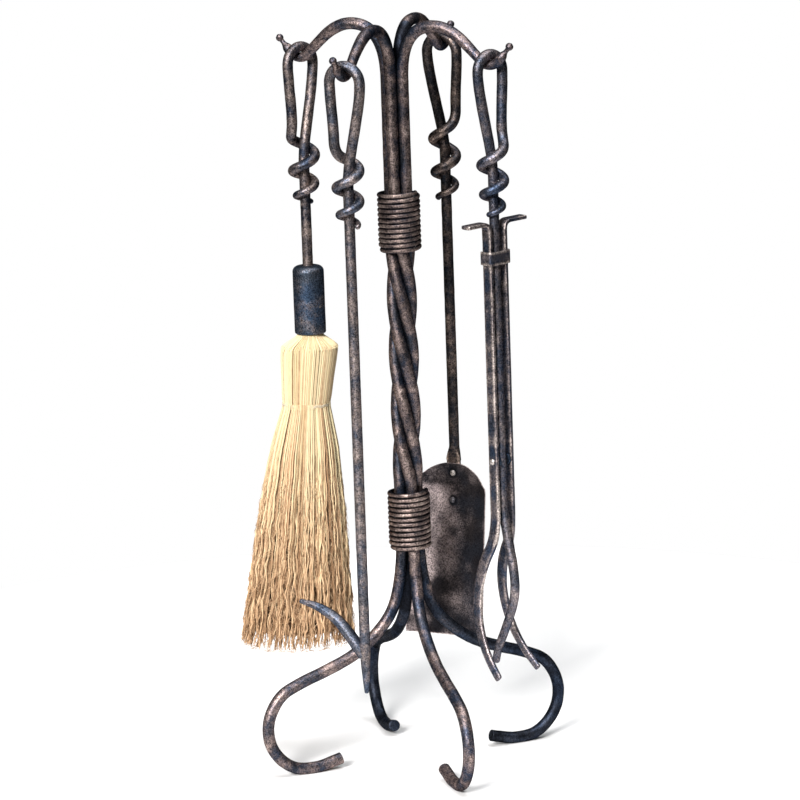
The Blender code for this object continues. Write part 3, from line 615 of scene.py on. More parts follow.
def turned(profile, sides):
    """An outline of (radius, height) points turned about Z."""
    radius, height = np.array(profile).T
    angles = round_angles(sides)
    around = [np.outer(np.cos(angles), radius), np.outer(np.sin(angles), radius)]
    return np.stack(around + [np.tile(height, (sides, 1))], axis=2)


# Stand


def on_stand(radius, azimuth, z):
    return Vector((STEM_X + radius * cos(azimuth), radius * sin(azimuth), z))


def tip_radius(back):
    """The hook's radius at a distance from the ball's middle towards the hook: ball, neck and taper."""
    if back < NECK_START:
        return sqrt(max(0.0, BALL_R**2 - back**2))
    if back < NECK_END:
        return NECK_R
    return NECK_R + (HOOK_BAR_R - NECK_R) * soft_step(back, NECK_END, NECK_END + NECK_TAPER)


def hook_profile():
    """The hook from its ball to where the arch starts: (radius, height) points and the bar's radii."""
    bend_end = Vector((sin(HOOK_OUTER), -cos(HOOK_OUTER))) * HOOK_BEND
    outwards = Vector((cos(HOOK_OUTER), sin(HOOK_OUTER)))
    middle = Vector((HOOK_R, HOOK_Z + HOOK_BEND))
    ball = middle + bend_end + outwards * TIP_LENGTH
    backs = [-0.0040 + 0.0005 * i for i in range(38)]
    points = [ball - outwards * back for back in backs]
    radii = [tip_radius(back) for back in backs]
    for i in range(31):
        angle = HOOK_OUTER + (HOOK_INNER - HOOK_OUTER) * i / 30
        points.append(middle + Vector((sin(angle), -cos(angle))) * HOOK_BEND)
        radii.append(HOOK_BAR_R)
    return points, radii


def arch_profile(start):
    """The arch from the hook over its top and down to the stem: (radius, height) points."""
    rising = Vector((-1, 1)).normalized() * ARCH_START_PULL
    top = Vector((ARCH_TOP_R, ARCH_TOP_Z))
    foot = Vector((BUNDLE_R, STEM_TOP_Z))
    outside, inside = (Vector((pull, 0)) for pull in ARCH_TOP_PULLS)
    outer = bezier(start, start + rising, top + outside, top, 41)[1:]
    inner = bezier(top, top - inside, foot + Vector((0, STEM_PULL)), foot, 41)[1:]
    return outer + inner


def eased(t, blend=0.06):
    """A share of the twist from 0 to 1 that starts and stops softly and is even in between."""
    rate = 1 / (1 - blend)
    if t < blend:
        return rate * t * t / (2 * blend)
    if t > 1 - blend:
        return 1 - rate * (1 - t) ** 2 / (2 * blend)
    return rate * (t - blend / 2)


def build_bar(tool, seed):
    """One bar of the stand, from its hook's ball over the arch and through the twist to its foot."""
    azimuth = radians(HOOK_AZIMUTH[tool])
    profile, radii = hook_profile()
    arch = arch_profile(profile[-1])
    radii += [HOOK_BAR_R + (BAR_R - HOOK_BAR_R) * min(1.0, (i + 1) / 28) for i in range(len(arch))]
    path = [on_stand(radius, azimuth, z) for radius, z in profile + arch]
    for i in range(TWIST_STEPS + 1):
        z = TWIST_TOP_Z + (TWIST_BOTTOM_Z - TWIST_TOP_Z) * i / TWIST_STEPS
        path.append(on_stand(BUNDLE_R, azimuth + TWIST * eased(i / TWIST_STEPS), z))
        radii.append(BAR_R + TWIST_SNUG * sin(pi * i / TWIST_STEPS) ** 0.5)
    for point in spline([Vector((radius, z, 0)) for radius, z in LEG], 12):
        spread = min(1.0, max(0.0, (point.x - BUNDLE_R) / (LEG_SPREAD_R - BUNDLE_R)))
        path.append(on_stand(point.x, azimuth + TWIST + radians(LEG_TURN[tool]) * spread, point.y))
    radii += [BAR_R] * (len(path) - len(radii))
    rings, outward, _ = sweep(path, radii, spacing=0.0015, count=22, ends=(0.0, 0.0009))
    # Rubbed bronze where the bars face out, painted shade between them.
    facing = stem_facing(rings, outward, BUNDLE_WEAR_AND_SHADE)
    facing = facing + UPPER_STEM_WEAR * soft_step(rings[..., 2], TWIST_TOP_Z - 0.01, TWIST_TOP_Z + 0.02)
    rings, high = forged(rings, outward, seed)
    high = high + facing + ARCH_WEAR * soft_step(rings[..., 2], *ARCH_WEAR_Z)
    # Painted shade on the tongs' and shovel's legs, painted light on the broom's.
    if tool in LEG_PAINTED_LIGHT:
        amount, start_z, full_z = LEG_PAINTED_LIGHT[tool]
        high = high + amount * soft_step(rings[..., 2], start_z, full_z)
    rings[..., 2] = np.maximum(rings[..., 2], 0.0)
    add_iron(f"stand_bar_{tool}", rings, high, "stand", "stand")


def build_collar(name, middle_z, first_azimuth, seed):
    """Wire wound round the four bars, its two ends tucked in against them."""
    steps = 56
    count = round(COLLAR_TURNS * steps)
    path = []
    for i in range(count + 1):
        closing = max(0.0, 1 - min(i, count - i) / (steps * COLLAR_TUCK))
        wander = 0.00012 * sin(i * 0.061 + seed) + 0.00008 * sin(i * 0.143)
        radius = COLLAR_R + (COLLAR_END_R - COLLAR_R) * closing
        z = middle_z + WIRE_PITCH * (COLLAR_TURNS / 2 - i / steps) + wander
        path.append(on_stand(radius, first_azimuth - 2 * pi * i / steps, z))
    forged_piece(
        name, path, [WIRE_R] * len(path), "collar", "stand", seed,
        depth=0.0001, around_stem=COLLAR_WEAR_AND_SHADE, count=14, spacing=0.0019,
    )


# Handles


def tool_matrix(tool):
    """Where a tool hangs on its hook, and which way it is turned."""
    hook = on_stand(HOOK_R, radians(HOOK_AZIMUTH[tool]), HOOK_Z)
    return Matrix.Translation(hook) @ Matrix.Rotation(radians(TOOL_TURN[tool]), 4, "Z")


def wrap_point(t, length, rod_r):
    """A point of the wrap and the rod's radius there: it thins out and its turns draw together."""
    thin = max(0.0, (t - WRAP_THINS_AT) / (1 - WRAP_THINS_AT)) ** 1.2
    radius = ROD_R - 0.0001 + (WRAP_END_R - ROD_R) * thin
    gap = WRAP_START_GAP + (WRAP_END_GAP - WRAP_START_GAP) * t
    reach = rod_r + gap + radius
    angle = -2 * pi * WRAP_TURNS * t
    z = WRAP_TOP_Z - length * (1.35 * t - 0.35 * t * t)
    return Vector((reach * cos(angle), reach * sin(angle), z)), radius


def handle(rod_r=ROD_R, length=WRAP_LENGTH):
    """A tool's rod from the top of its shaft up round the eye, down again and wound round the shaft."""
    left = Vector((-EYE_R, 0, EYE_Z))
    shaft = Vector((0, 0, SHAFT_TOP_Z))
    above_shaft, below_eye = Vector((0, 0, SHOULDER_Z[0])), Vector((-EYE_R, 0, SHOULDER_Z[1]))
    path = [shaft] + bezier(shaft, above_shaft, below_eye, left, 41)[1:]
    for i in range(1, 41):
        angle = pi * (1 - i / 40)
        path.append(Vector((EYE_R * cos(angle), 0, EYE_Z + EYE_R * sin(angle))))
    leg = Vector((EYE_LEG_X, 0, EYE_LEG_Z))
    right = path[-1]
    below_right, above_leg = right - Vector((0, 0, EYE_PULLS[0])), leg + Vector((0, 0, EYE_PULLS[1]))
    path += bezier(right, below_right, above_leg, leg, 31)[1:]
    radii = [rod_r + (ROD_R - rod_r) * min(1.0, i / 20) for i in range(len(path))]
    wrap = [wrap_point(i / WRAP_STEPS, length, rod_r) for i in range(WRAP_SKIPPED, WRAP_STEPS + 1)]
    into = (wrap[1][0] - wrap[0][0]).normalized() * 0.008
    bend = bezier(leg, leg - Vector((0, 0, 0.010)), wrap[0][0] - into, wrap[0][0], 17)[1:-1]
    path += bend + [point for point, _ in wrap]
    radii += [ROD_R] * len(bend) + [radius for _, radius in wrap]
    along = (path[-1] - path[-2]).normalized()
    path.append(path[-1] + along * 0.0016)
    radii.append(radii[-1])
    return path, radii


# Broom


def head_table():
    """The head's outline at fine, even heights: height, half width and half depth."""
    rows = np.array(FIBRE_PROFILE)
    z = np.linspace(rows[0, 0], rows[-1, 0], 500)
    table = np.stack([z] + [np.interp(-z, -rows[:, 0], rows[:, k]) for k in (1, 2)], axis=1)
    table[:, 1:] = smooth_line(table[:, 1:], 12)
    return table


HEAD = head_table()


def head_point(z, u, v):
    """Points of the head at their heights, for shares of its half width and half depth."""
    turn = BROOM_WIDE - radians(TOOL_TURN["broom"])
    wide = np.array((cos(turn), sin(turn), 0))
    deep = np.array((-sin(turn), cos(turn), 0))
    neck_z = FIBRE_PROFILE[1][0]
    below = np.clip((neck_z - z) / (neck_z - FIBRE_PROFILE[-1][0]), 0, None)
    lean = below**0.85 * BROOM_LEAN
    a = lean + np.interp(-z, -HEAD[:, 0], HEAD[:, 1]) * u
    b = np.interp(-z, -HEAD[:, 0], HEAD[:, 2]) * v
    return wide * a[..., None] + deep * b[..., None] + np.array((0, 0, 1)) * z[..., None]


def tubes(centres, radii, sides, seed):
    """Points and faces of many thin tubes at once: centres are (tube, ring, 3) and radii (tube, ring)."""
    number, rings = radii.shape
    along = unit(np.gradient(centres, axis=1))
    first = unit(np.cross(along, np.array((0.3, 1.0, 0.1))))
    second = np.cross(along, first)
    turn = np.random.default_rng(seed).uniform(0, 2 * pi, number)[:, None, None]
    angles = round_angles(sides) + turn
    ring = first[:, :, None] * np.cos(angles)[..., None] + second[:, :, None] * np.sin(angles)[..., None]
    points = centres[:, :, None] + ring * radii[..., None, None]
    one = grid_faces(rings, sides)
    size = rings * sides
    faces = [[corner + tube * size for corner in face] for tube in range(number) for face in one]
    return points, faces


def add_fibre(name, points, faces, tone, finish="straw", nodes=()):
    """A piece of the head: each point carries its tone and how far down the head it is."""
    drop = np.clip((FIBRE_PROFILE[2][0] - points[..., 2]) / 0.33, 0, 1)
    values = {"tone": tone + np.zeros(drop.shape), "drop": drop}
    add_mesh(name, points, faces, finish, "broom", nodes, values)


def build_straws(
    name, rng, number, top, bottom, rings, inner, radius, seed,
    outer=1.0, ragged=0.0, starts=STITCH_Z - 0.02, gather=0.0, tuft=0.0, straw=0.0, rim=0.0, dull=0.0,
):
    """Straws from a height down to ragged ends, gathered into tufts that wander towards the tips."""
    share = np.sqrt(rng.uniform(inner**2, outer**2, number))
    angle = rng.uniform(0, 2 * pi, number)
    own = np.stack([share * np.cos(angle), share * np.sin(angle)], axis=1)
    centres = np.sqrt(rng.uniform(inner**2, 1, TUFTS))
    around = rng.uniform(0, 2 * pi, TUFTS)
    tufts = np.stack([centres * np.cos(around), centres * np.sin(around)], axis=1)
    nearest = np.argmin(((own[:, None] - tufts[None]) ** 2).sum(axis=2), axis=1)
    ends = bottom + rng.uniform(0, 1, number) ** 1.6 * ragged
    t = np.linspace(0, 1, rings)[None, :]
    z = top + (ends[:, None] - top) * t
    low = np.clip((starts - z) / (starts - bottom), 0, 1)
    drawn = (gather * low**1.2)[..., None]
    place = own[:, None] * (1 - drawn) + tufts[nearest][:, None] * drawn
    place = place * (1 + rim * np.exp(-(((z - RIM_Z) / 0.0035) ** 2)))[..., None]
    centre = head_point(z, place[..., 0], place[..., 1])
    for k in range(2):
        long_wave = rng.uniform(0.030, 0.055, TUFTS)[nearest][:, None]
        long_start = rng.uniform(0, 2 * pi, TUFTS)[nearest][:, None]
        short_wave = rng.uniform(0.010, 0.020, number)[:, None]
        short_start = rng.uniform(0, 2 * pi, number)[:, None]
        wander = tuft * np.sin(2 * pi * z / long_wave + long_start)
        wander = wander + straw * np.sin(2 * pi * z / short_wave + short_start)
        centre[..., k] += wander * low**0.8
    thick = radius * rng.uniform(0.75, 1.2, number)[:, None] * (1 - 0.28 * low**1.5)
    thick[:, -1] *= 0.5
    points, faces = tubes(centre, thick, 3, seed)
    add_fibre(name, points, faces, rng.uniform(dull, 1, number)[:, None, None])


def build_bristles(rng, number):
    """Fine curled hairs that stand off the lower half of the head between the straws."""
    rings = 5
    z = rng.uniform(-0.628, -0.44, number) - 0.01 * rng.uniform(0, 1, number)
    share = np.sqrt(rng.uniform(0.80, 1.0, number))
    angle = rng.uniform(0, 2 * pi, number)
    reach = rng.uniform(0.006, 0.016, number)
    t = np.linspace(0, 1, rings)[None, :]
    drift = rng.normal(0, 0.10, number)
    swing = rng.uniform(0, 2 * pi, number)[:, None]
    around = angle[:, None] + drift[:, None] * t + 0.04 * np.sin(3 * pi * t + swing)
    out = share[:, None] + rng.uniform(-0.02, 0.09, number)[:, None] * t
    out = np.minimum(out, 1.045)
    down = np.maximum(z[:, None] - reach[:, None] * t, LOWEST_HAIR_Z)
    centre = head_point(down, out * np.cos(around), out * np.sin(around))
    radii = 0.00026 * rng.uniform(0.7, 1.2, number)[:, None] * (1 - 0.5 * t)
    points, faces = tubes(centre, radii, 3, 9)
    add_fibre("broom_bristles", points, faces, rng.uniform(0.15, 1.0, number)[:, None, None])


def build_shaded_heart():
    """The dark inside of the head, which shows between the straws: a sheet in shade colours, painted shade
    deep among them.
    """
    rings, sides = 60, 40
    angles = round_angles(sides)
    z = np.repeat(np.linspace(-0.292, -0.621, rings)[:, None], sides, axis=1)
    inside = 0.92 - 0.24 * np.clip((STITCH_Z - z) / 0.12, 0, 1)
    points = head_point(z, inside * np.cos(angles), inside * np.sin(angles))
    tone = 0.5 + 0.5 * soft_noise(points * (1, 1, 0.05), 0.0015, 5)
    add_fibre("broom_shaded_heart", points, grid_faces(rings, sides), tone, "heart", ["broom_fibres"])


def build_head():
    """Straws above the stitch, longer ones below it in two layers, and loose hairs round them."""
    build_shaded_heart()
    rng = np.random.default_rng(11)
    build_straws("broom_shoulder", rng, 640, -0.288, STITCH_Z - 0.003, 24, 0.90, 0.00086, 1, rim=0.05)
    build_straws("broom_cut_ends", rng, 170, RIM_Z + 0.001, STITCH_Z - 0.002, 14, 0.99, 0.00080, 4, rim=0.05)
    loose = {"ragged": 0.012, "starts": -0.40, "gather": 0.64, "tuft": 0.0015, "straw": 0.0008}
    build_straws("broom_straws_outer", rng, 860, STITCH_Z + 0.003, -0.634, 36, 0.84, 0.00074, 2, **loose)
    # The inner straws take darker tones: painted shade inside the head.
    loose.update(outer=0.80, dull=0.45)
    build_straws("broom_straws_inner", rng, 420, STITCH_Z + 0.002, -0.630, 30, 0.40, 0.00076, 3, **loose)
    build_bristles(rng, 4200)


def build_stitch():
    """Two turns of twine round the waist that wander and dip between the straws."""
    count = 260
    t = np.linspace(0, 1, count)
    angle = 2 * pi * 2 * t
    z = STITCH_Z + 0.0014 - 0.0028 * t + 0.0005 * np.sin(angle * 16)
    out = 0.998 + 0.034 * np.sin(3 * angle + 0.8)
    points = head_point(z, out * np.cos(angle), out * np.sin(angle))
    points, faces = tubes(points[None], np.full((1, count), TWINE_R), 8, 4)
    add_mesh("broom_twine", points, faces, "twine", "broom", ["broom_stitch"], {})


def build_ferrule():
    """The turned sleeve: a low dome round the rod, a rounded shoulder and an open, hollow underside."""
    top, bottom = FERRULE_TOP_Z, FERRULE_TOP_Z - FERRULE_LENGTH
    inner, hole, sides = FERRULE_R - FERRULE_WALL, ROD_R + GAP, 72
    centre_r, centre_z = FERRULE_R - FERRULE_ROUND, top - 0.0006 - FERRULE_ROUND
    profile = [(hole, top - 0.0004), (hole + 0.0006, top), (FERRULE_R - 0.0075, top - 0.0004)]
    for i in range(9):
        a = radians(90 - 90 * i / 8)
        profile.append((centre_r + FERRULE_ROUND * cos(a), centre_z + FERRULE_ROUND * sin(a)))
    profile += [(FERRULE_R, z) for z in np.linspace(top - 0.009, bottom + 0.0012, 40)]
    profile += [(FERRULE_R - 0.0003, bottom + 0.0003), (FERRULE_R - 0.0009, bottom), (inner, bottom + 0.0004)]
    profile += [(inner, top - 0.0070), (hole, top - 0.0050)]
    rings = turned(profile, sides)
    rings, high = forged(rings, unit(rings * (1, 1, 0)), 31, 0.00012)
    values = {"high": high + 0.35 * soft_noise(rings, 0.02, 33) - 0.1}
    faces, nodes = grid_faces(sides, len(profile), closed=True), ["broom_ferrule"]
    add_mesh("broom_ferrule_sleeve", rings, faces, "ferrule", "broom", nodes, values)


def build_broom():
    path, radii = handle()
    rod_end = Vector((0, 0, FERRULE_TOP_Z - ROD_IN_CORE))
    forged_piece(
        "broom_handle", [rod_end] + path, [ROD_R] + radii, "broom", "broom", 41,
        ends=(0.001, 0.0026), dull=BROOM_DULL,
    )
    build_ferrule()
    build_head()
    build_stitch()


# Poker


def build_poker():
    path, radii = handle()
    tip = Vector((0, 0, POKER_TIP_Z))
    path = [tip + Vector((0, 0, up * POKER_TAPER)) for up, _ in POKER_POINT] + path
    radii = [POKER_TIP_R + (ROD_R - POKER_TIP_R) * swell for _, swell in POKER_POINT] + radii
    how = {"ends": (0.0014, 0.0026), "dull": POKER_DULL}
    forged_piece("poker_shaft", path, radii, "poker", "poker", 51, **how)
    prong = spline([Vector((x, 0, z)) for x, z in PRONG], 14)
    shares, sizes = zip(*PRONG_RADII)
    radii = np.interp(np.linspace(0, 1, len(prong)), shares, sizes)
    prong.append(prong[-1] + (prong[-1] - prong[-2]).normalized() * 0.0015)
    radii = list(radii) + [radii[-1]]
    how = {"ends": (0.0, 0.0018), "spacing": 0.001, "dull": PRONG_DULL}
    forged_piece("poker_prong", prong, radii, "poker", "poker", 53, **how)


# Shovel


def back_slope(z):
    """The lean of the sheet's back at a height: its wall leans one way and its trough the other."""
    return PAN_WALL_TILT if z > PAN_TOP_Z - PAN_CREASE else -PAN_LEAN


def back_y(z):
    return -(z - (PAN_TOP_Z - PAN_CREASE)) * tan(back_slope(z))


def into_hollow(z):
    """The direction from the sheet's back into its hollow."""
    slope = back_slope(z)
    return Vector((0, -cos(slope), -sin(slope)))


def pan_half_width(along):
    if along < PAN_ROUND_END:
        return PAN_HALF_WIDTH * sqrt(max(0.0, 1 - (1 - along / PAN_ROUND_END) ** 2))
    return PAN_HALF_WIDTH + PAN_FRONT_FLARE * (along - PAN_ROUND_END) / (PAN_LENGTH - PAN_ROUND_END)


def pan_rise(across, along):
    """How far the sheet stands into its hollow, at a share of its half width from the middle."""
    sides = PAN_SIDE_RISE + (PAN_FRONT_RISE - PAN_SIDE_RISE) * along / PAN_LENGTH
    return sides * abs(across) ** 2.4


def pan_sheet(columns=64):
    """The middle of the sheet as rows of points from its top down, and the direction into the hollow."""
    alongs = list(0.0006 + (PAN_ROUND_END - 0.0006) * np.linspace(0, 1, 40) ** 1.7)
    alongs += list(np.linspace(PAN_ROUND_END, PAN_LENGTH, 90)[1:])
    middle = np.zeros((len(alongs), columns + 1, 3))
    normal = np.zeros(middle.shape)
    for row, along in enumerate(alongs):
        z = PAN_TOP_Z - along
        push = into_hollow(z)
        centre = Vector((0, back_y(z), z)) + push * (TANG_THICK / 2 + GAP + PAN_SHEET / 2)
        for column in range(columns + 1):
            across = (2 * column / columns - 1) * pan_half_width(along)
            point = centre + push * pan_rise(across / PAN_HALF_WIDTH, along)
            point.x = across
            middle[row, column] = point
            normal[row, column] = push
    return smooth_line(middle, 6), normal


def plate_faces(rows, columns):
    """Quads of a plate's two sides, each rows by columns of points, and of the edge between them."""
    number = rows * columns
    at = np.arange(number).reshape(rows, columns)
    one = np.stack([at[:-1, :-1], at[:-1, 1:], at[1:, 1:], at[1:, :-1]], axis=2).reshape(-1, 4)
    border = np.concatenate([at[0], at[1:, -1], at[-1, -2::-1], at[-2:0:-1, 0]])
    after = np.roll(border, -1)
    edge = np.stack([border, number + border, number + after, after], axis=1)
    return np.concatenate([one, number + one[:, ::-1], edge]).tolist()


def pan_painted_light(middle):
    """Painted light on the left of the trough and painted shade on the right, less so near its front, a
    painted dark spot low on the left, the wall a little darker, and a darker ring round each rivet.
    """
    across, z = middle[..., 0], middle[..., 2]
    trough = soft_step(PAN_TOP_Z - PAN_CREASE - z, -0.004, 0.006)
    low = soft_step(z, -0.563, -0.597)
    left, right = 0.36 - 0.32 * low, -0.36 + 0.20 * low
    swept = across + 0.006 * soft_noise(middle, 0.02, 63)
    share = soft_step(swept, -0.012 - 0.021 * low, 0.022 - 0.031 * low)
    high = 0.5 + 0.30 * soft_noise(middle, 0.012, 61)
    # Painted light on the trough's left, painted shade on its right, and a slightly darker wall above the
    # crease.
    high += trough * (left + (right - left) * share) - (1 - trough) * 0.10
    # A painted dark spot of shade low on the left of the trough.
    high -= trough * low * 0.22 * np.exp(-((swept + 0.012) / 0.009) ** 2)
    # A darker ring round each rivet.
    for rivet_z in RIVET_Z:
        high += RIVET_RING_DARKENING * np.exp(-((across**2 + (z - rivet_z) ** 2) / RIVET_RING_R**2) ** 2)
    return high


def build_pan():
    """The pressed sheet: a rounded back wall that leans forward, a soft crease and a trough below it."""
    middle, normal = pan_sheet()
    rim = np.ones(middle.shape[:2], bool)
    rim[1:-1, 1:-1] = False
    dents = 0.00030 * soft_noise(middle, 0.016, 61) + 0.00012 * soft_noise(middle, 0.006, 62)
    middle = middle + normal * dents[..., None]
    half = normal * np.where(rim, PAN_SHEET / 2 * RIM_THIN, PAN_SHEET / 2)[..., None]
    points, faces = np.stack([middle + half, middle - half]), plate_faces(*rim.shape)
    # A bright rim, partly wear and partly a painted highlight; painted light and shade on the rest.
    high = np.where(rim, RIM_WEAR_AND_HIGHLIGHT, pan_painted_light(middle))
    values = {"high": np.stack([high, high])}
    add_mesh("shovel_pan_sheet", points, faces, "pan", "shovel", ["shovel_pan"], values)


def dome(name, nodes, middle, facing, at, radius, height, body, seed, finish="rivet"):
    """A hammered rivet head on a surface at distance `at` along the way it faces."""
    steps = [radians(90 * i / 8) for i in range(9)]
    path = [middle + facing * (at + height * sin(a)) for a in steps]
    radii = [max(0.0003, radius * cos(a) ** 0.75) for a in steps]
    path.insert(0, middle + facing * (at - 0.0002))
    radii.insert(0, radius)
    rings, outward, _ = sweep(path, radii, spacing=0.0002, count=24, ends=(0.0, 0.0))
    rings, high = forged(rings, outward, seed, 0.00012)
    add_mesh(name, rings, grid_faces(*rings.shape[:2]), finish, body, nodes, {"high": high})


def build_shovel():
    path, radii = handle(length=SHOVEL_WRAP_LENGTH)
    levels = [TANG_BOTTOM_Z, TANG_BOTTOM_Z + 0.004]
    levels += list(np.linspace(TANG_BOTTOM_Z + 0.006, PAN_TOP_Z + 0.003, 30))
    tang = [Vector((0, back_y(min(z, PAN_TOP_Z)), z)) for z in levels]
    rod = [Vector((0, 0, PAN_TOP_Z + SHOVEL_NECK)), Vector((0, 0, -0.30))] + path
    radii = [ROD_R, ROD_R] + radii
    widths = [TANG_WIDTH * share for share in [0.32, 0.49] + [0.5] * 29 + [0.54]] + radii
    thicks = [TANG_THICK / 2] * len(tang) + radii
    powers = [5.0] * len(tang) + [2.0] * len(rod)
    forged_piece(
        "shovel_shaft", tang + rod, widths, "shovel", "shovel", 71,
        thicks=thicks, powers=powers, ends=(0.001, 0.0026), side=(1, 0, 0),
    )
    build_pan()
    back = TANG_THICK / 2
    front = back + GAP + PAN_SHEET
    rivets = (("upper", front, "rivet", 81), ("lower", front + PROUD_RIVET, "worn_rivet", 82))
    for z, (place, head_at, finish, seed) in zip(RIVET_Z, rivets):
        name = f"shovel_rivet_{place}"
        middle, push = Vector((0, back_y(z), z)), into_hollow(z)
        head, tail = (head_at, RIVET_HEAD_R, RIVET_HEAD_HEIGHT), (back, RIVET_HEAD_R, RIVET_TAIL_HEIGHT)
        dome(name + "_head", [name], middle, push, *head, "shovel", seed, finish)
        dome(name + "_tail", [], middle, -push, *tail, "shovel", seed + 5)


# Tongs


def forwards(out, front, z):
    """A point of the tongs from how far out to the left and to the front it is."""
    return Vector((-out, -front, z))


def build_arm(name, side, seed, painted_highlight=None):
    """An outer bar of the tongs: its thumb tab, its straight stretch and its claw."""
    outs = [TAB_LENGTH, TAB_LENGTH - 0.001, TAB_BEND, TAB_BEND * 0.4]
    tab_end, tab, bend_start, corner = (forwards(side * (ARM_S + out), 0, ARM_TOP_Z) for out in outs)
    corner_end, bend_end = (forwards(side * ARM_S, 0, ARM_TOP_Z - TAB_BEND * down) for down in (0.4, 1.0))
    bend = bezier(bend_start, corner, corner_end, bend_end, 21)
    straight = [forwards(side * ARM_S, 0, z) for z in (-0.25, -0.34, -0.412, -0.437)]
    claw = spline([forwards(side * out, front, z) for out, front, z in OUTER_CLAW], 12)
    path = [tab_end, tab] + bend + straight + claw
    body = len(path) - len(claw)
    share = np.linspace(0, 1, len(claw))
    swell = np.sin(pi * share)
    widths = [ARM_WIDTH * 0.42] + [ARM_WIDTH / 2] * (body - 1)
    widths += list((ARM_WIDTH + (CLAW_TIP_WIDTH - ARM_WIDTH) * share + CLAW_SWELL * swell) / 2)
    thicks = [ARM_THICK * 0.36] + [ARM_THICK / 2] * (body - 1)
    thicks += list((ARM_THICK + CLAW_THICK_SWELL * swell) / 2)
    powers = [4.5] * body + list(4.5 - 1.5 * share)
    forged_piece(
        name, path, widths, "tongs", "tongs_arms", seed, thicks=thicks, powers=powers,
        ends=(0.0018, 0.0016), across=(0, 1, 0), spacing=0.0014, depth=0.00014, painted_highlight=painted_highlight,
    )


def build_strap():
    """A strip bent round the two outer bars, its corners rounded."""
    out = ARM_S + ARM_THICK / 2 + GAP + STRAP_SHEET / 2
    front = ARM_WIDTH / 2 + 2 * GAP + STRAP_SHEET / 2
    back = -front + STRAP_SHEET / 2
    z = STRAP_TOP_Z - STRAP_HEIGHT / 2
    turns = [radians(90 * i / 6) for i in range(7)]
    path = [forwards(out, back, z)]
    for side, corner in ((1, turns), (-1, turns[::-1])):
        for a in corner:
            across = side * (out - STRAP_CORNER_R + STRAP_CORNER_R * cos(a))
            path.append(forwards(across, front - STRAP_CORNER_R + STRAP_CORNER_R * sin(a), z))
    path.append(forwards(-out, back, z))
    widths, thicks = [STRAP_HEIGHT / 2] * len(path), [STRAP_SHEET / 2] * len(path)
    forged_piece(
        "tongs_strap", path, widths, "tongs", "tongs_arms", 95, thicks=thicks, powers=7.0,
        ends=(0.0004, 0.0004), across=(0, 0, 1), spacing=0.0008, depth=0.0001, count=28,
    )


def build_tongs():
    path, radii = handle(rod_r=TONGS_ROD_R)
    claw = spline([forwards(*row) for row in MIDDLE_CLAW], 12)
    share = np.linspace(0, 1, len(claw)) ** 1.6
    claw_radii = list(TONGS_ROD_R + (CLAW_TIP_R - TONGS_ROD_R) * share)
    claw.append(claw[-1] + (claw[-1] - claw[-2]).normalized() * 0.0016)
    claw_radii.append(CLAW_TIP_R)
    whole = claw[::-1] + [Vector((0, 0, -0.25))] + path
    radii = claw_radii[::-1] + [TONGS_ROD_R] + radii
    forged_piece("tongs_shaft", whole, radii, "tongs", "tongs", 91, ends=(0.0018, 0.0026))
    build_arm("tongs_arm_left", 1, 92, painted_highlight=PAINTED_HIGHLIGHT)
    build_arm("tongs_arm_right", -1, 93)
    build_strap()
    pivot, left = forwards(0, 0, PIVOT_Z), forwards(1, 0, 0)
    size = (ARM_S + ARM_THICK / 2, PIVOT_HEAD_R, PIVOT_HEAD_HEIGHT)
    dome("tongs_pivot_head", ["tongs_pivot"], pivot, left, *size, "tongs_arms", 96)
    dome("tongs_pivot_tail", [], pivot, -left, *size, "tongs_arms", 97)


def finish_frame_nodes():
    """The CAD nodes that stay in sight get their own finish."""
    kept = {
        "broom_core": "wood", "broom_pin": "rivet", "broom_neck_tie": "rivet",
        "tongs_washer_left": "ferrule", "tongs_washer_right": "ferrule",
    }
    for node, finish in kept.items():
        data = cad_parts[node].data
        data.materials.clear()
        data.materials.append(FINISHES[finish])


# Floor, light and camera


def build_floor():
    """A pale round floor, wide enough for everything that stands on it and its shadow."""
    points = turned([(FLOOR_R, 0)], FLOOR_SIDES)[:, 0]
    data = bpy.data.meshes.new("floor")
    data.from_pydata(points.tolist(), [], [list(range(FLOOR_SIDES))])
    data.materials.append(floor_finish())
    add_object("floor", data)


def direction(azimuth, elevation):
    """From the object towards a camera or a lamp. Azimuth 0 is in front of it, and it grows to the right."""
    level = cos(elevation)
    return Vector((sin(azimuth) * level, -cos(azimuth) * level, sin(elevation)))


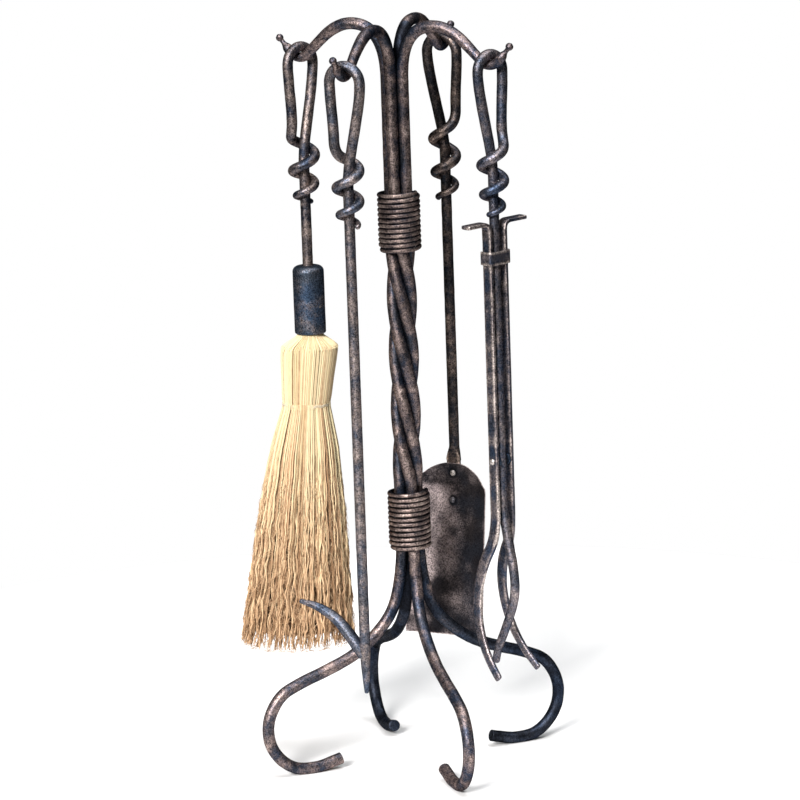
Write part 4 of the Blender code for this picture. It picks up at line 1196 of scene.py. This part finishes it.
def build_camera():
    back = direction(CAMERA_AZIMUTH, CAMERA_ELEVATION)
    right = Vector((cos(CAMERA_AZIMUTH), sin(CAMERA_AZIMUTH), 0))
    up = back.cross(right)
    aim = right * CAMERA_AIM[0] + Vector((0, 0, CAMERA_AIM[1]))
    data = bpy.data.cameras.new("camera")
    data.lens = CAMERA_LENS
    data.sensor_width = 36.0
    data.clip_end = 200.0
    camera = add_object("camera", data)
    c, s = cos(CAMERA_ROLL), sin(CAMERA_ROLL)
    turn = Matrix((right * c - up * s, right * s + up * c, back)).transposed().to_4x4()
    camera.matrix_world = Matrix.Translation(aim + back * CAMERA_DISTANCE) @ turn
    bpy.context.scene.camera = camera


def add_sun(name, azimuth, elevation, strength, angle, colour):
    """A soft sun. Its azimuth is how far to the right of the camera it stands."""
    data = bpy.data.lights.new(name, "SUN")
    data.energy = strength
    data.angle = radians(angle)
    data.color = colour
    light = add_object(name, data)
    towards = direction(CAMERA_AZIMUTH + radians(azimuth), radians(elevation))
    light.rotation_mode = "QUATERNION"
    light.rotation_quaternion = towards.to_track_quat("Z", "Y")


def build_light():
    """A key sun from the left, a broad one from above, and a white sky that hardly lights anything."""
    add_sun("key_light", azimuth=-24, elevation=30, strength=6.0, angle=20, colour=(1.0, 0.985, 0.97))
    add_sun("top_light", azimuth=60, elevation=82, strength=3.1, angle=50, colour=(0.98, 0.99, 1.0))
    world = bpy.data.worlds.new("studio")
    world.use_nodes = True
    tree = world.node_tree
    seen = tree.nodes.new("ShaderNodeLightPath").outputs["Is Camera Ray"]
    strength = tree.nodes.new("ShaderNodeMapRange")
    strength.inputs["To Min"].default_value = 0.03
    strength.inputs["To Max"].default_value = 1.0
    tree.links.new(seen, strength.inputs["Value"])
    background = tree.nodes["Background"]
    background.inputs["Color"].default_value = (1.0, 1.0, 1.0, 1.0)
    tree.links.new(strength.outputs["Result"], background.inputs["Strength"])
    bpy.context.scene.world = world
    bpy.context.scene.view_settings.view_transform = "Standard"


build_camera()
for number, tool in enumerate(HOOK_AZIMUTH):
    build_bar(tool, 10 * number + 1)
build_collar("collar_upper", UPPER_COLLAR_Z, radians(10), 5)
build_collar("collar_lower", LOWER_COLLAR_Z, radians(30), 6)
build_broom()
build_poker()
build_shovel()
build_tongs()
finish_frame_nodes()
build_floor()
build_light()
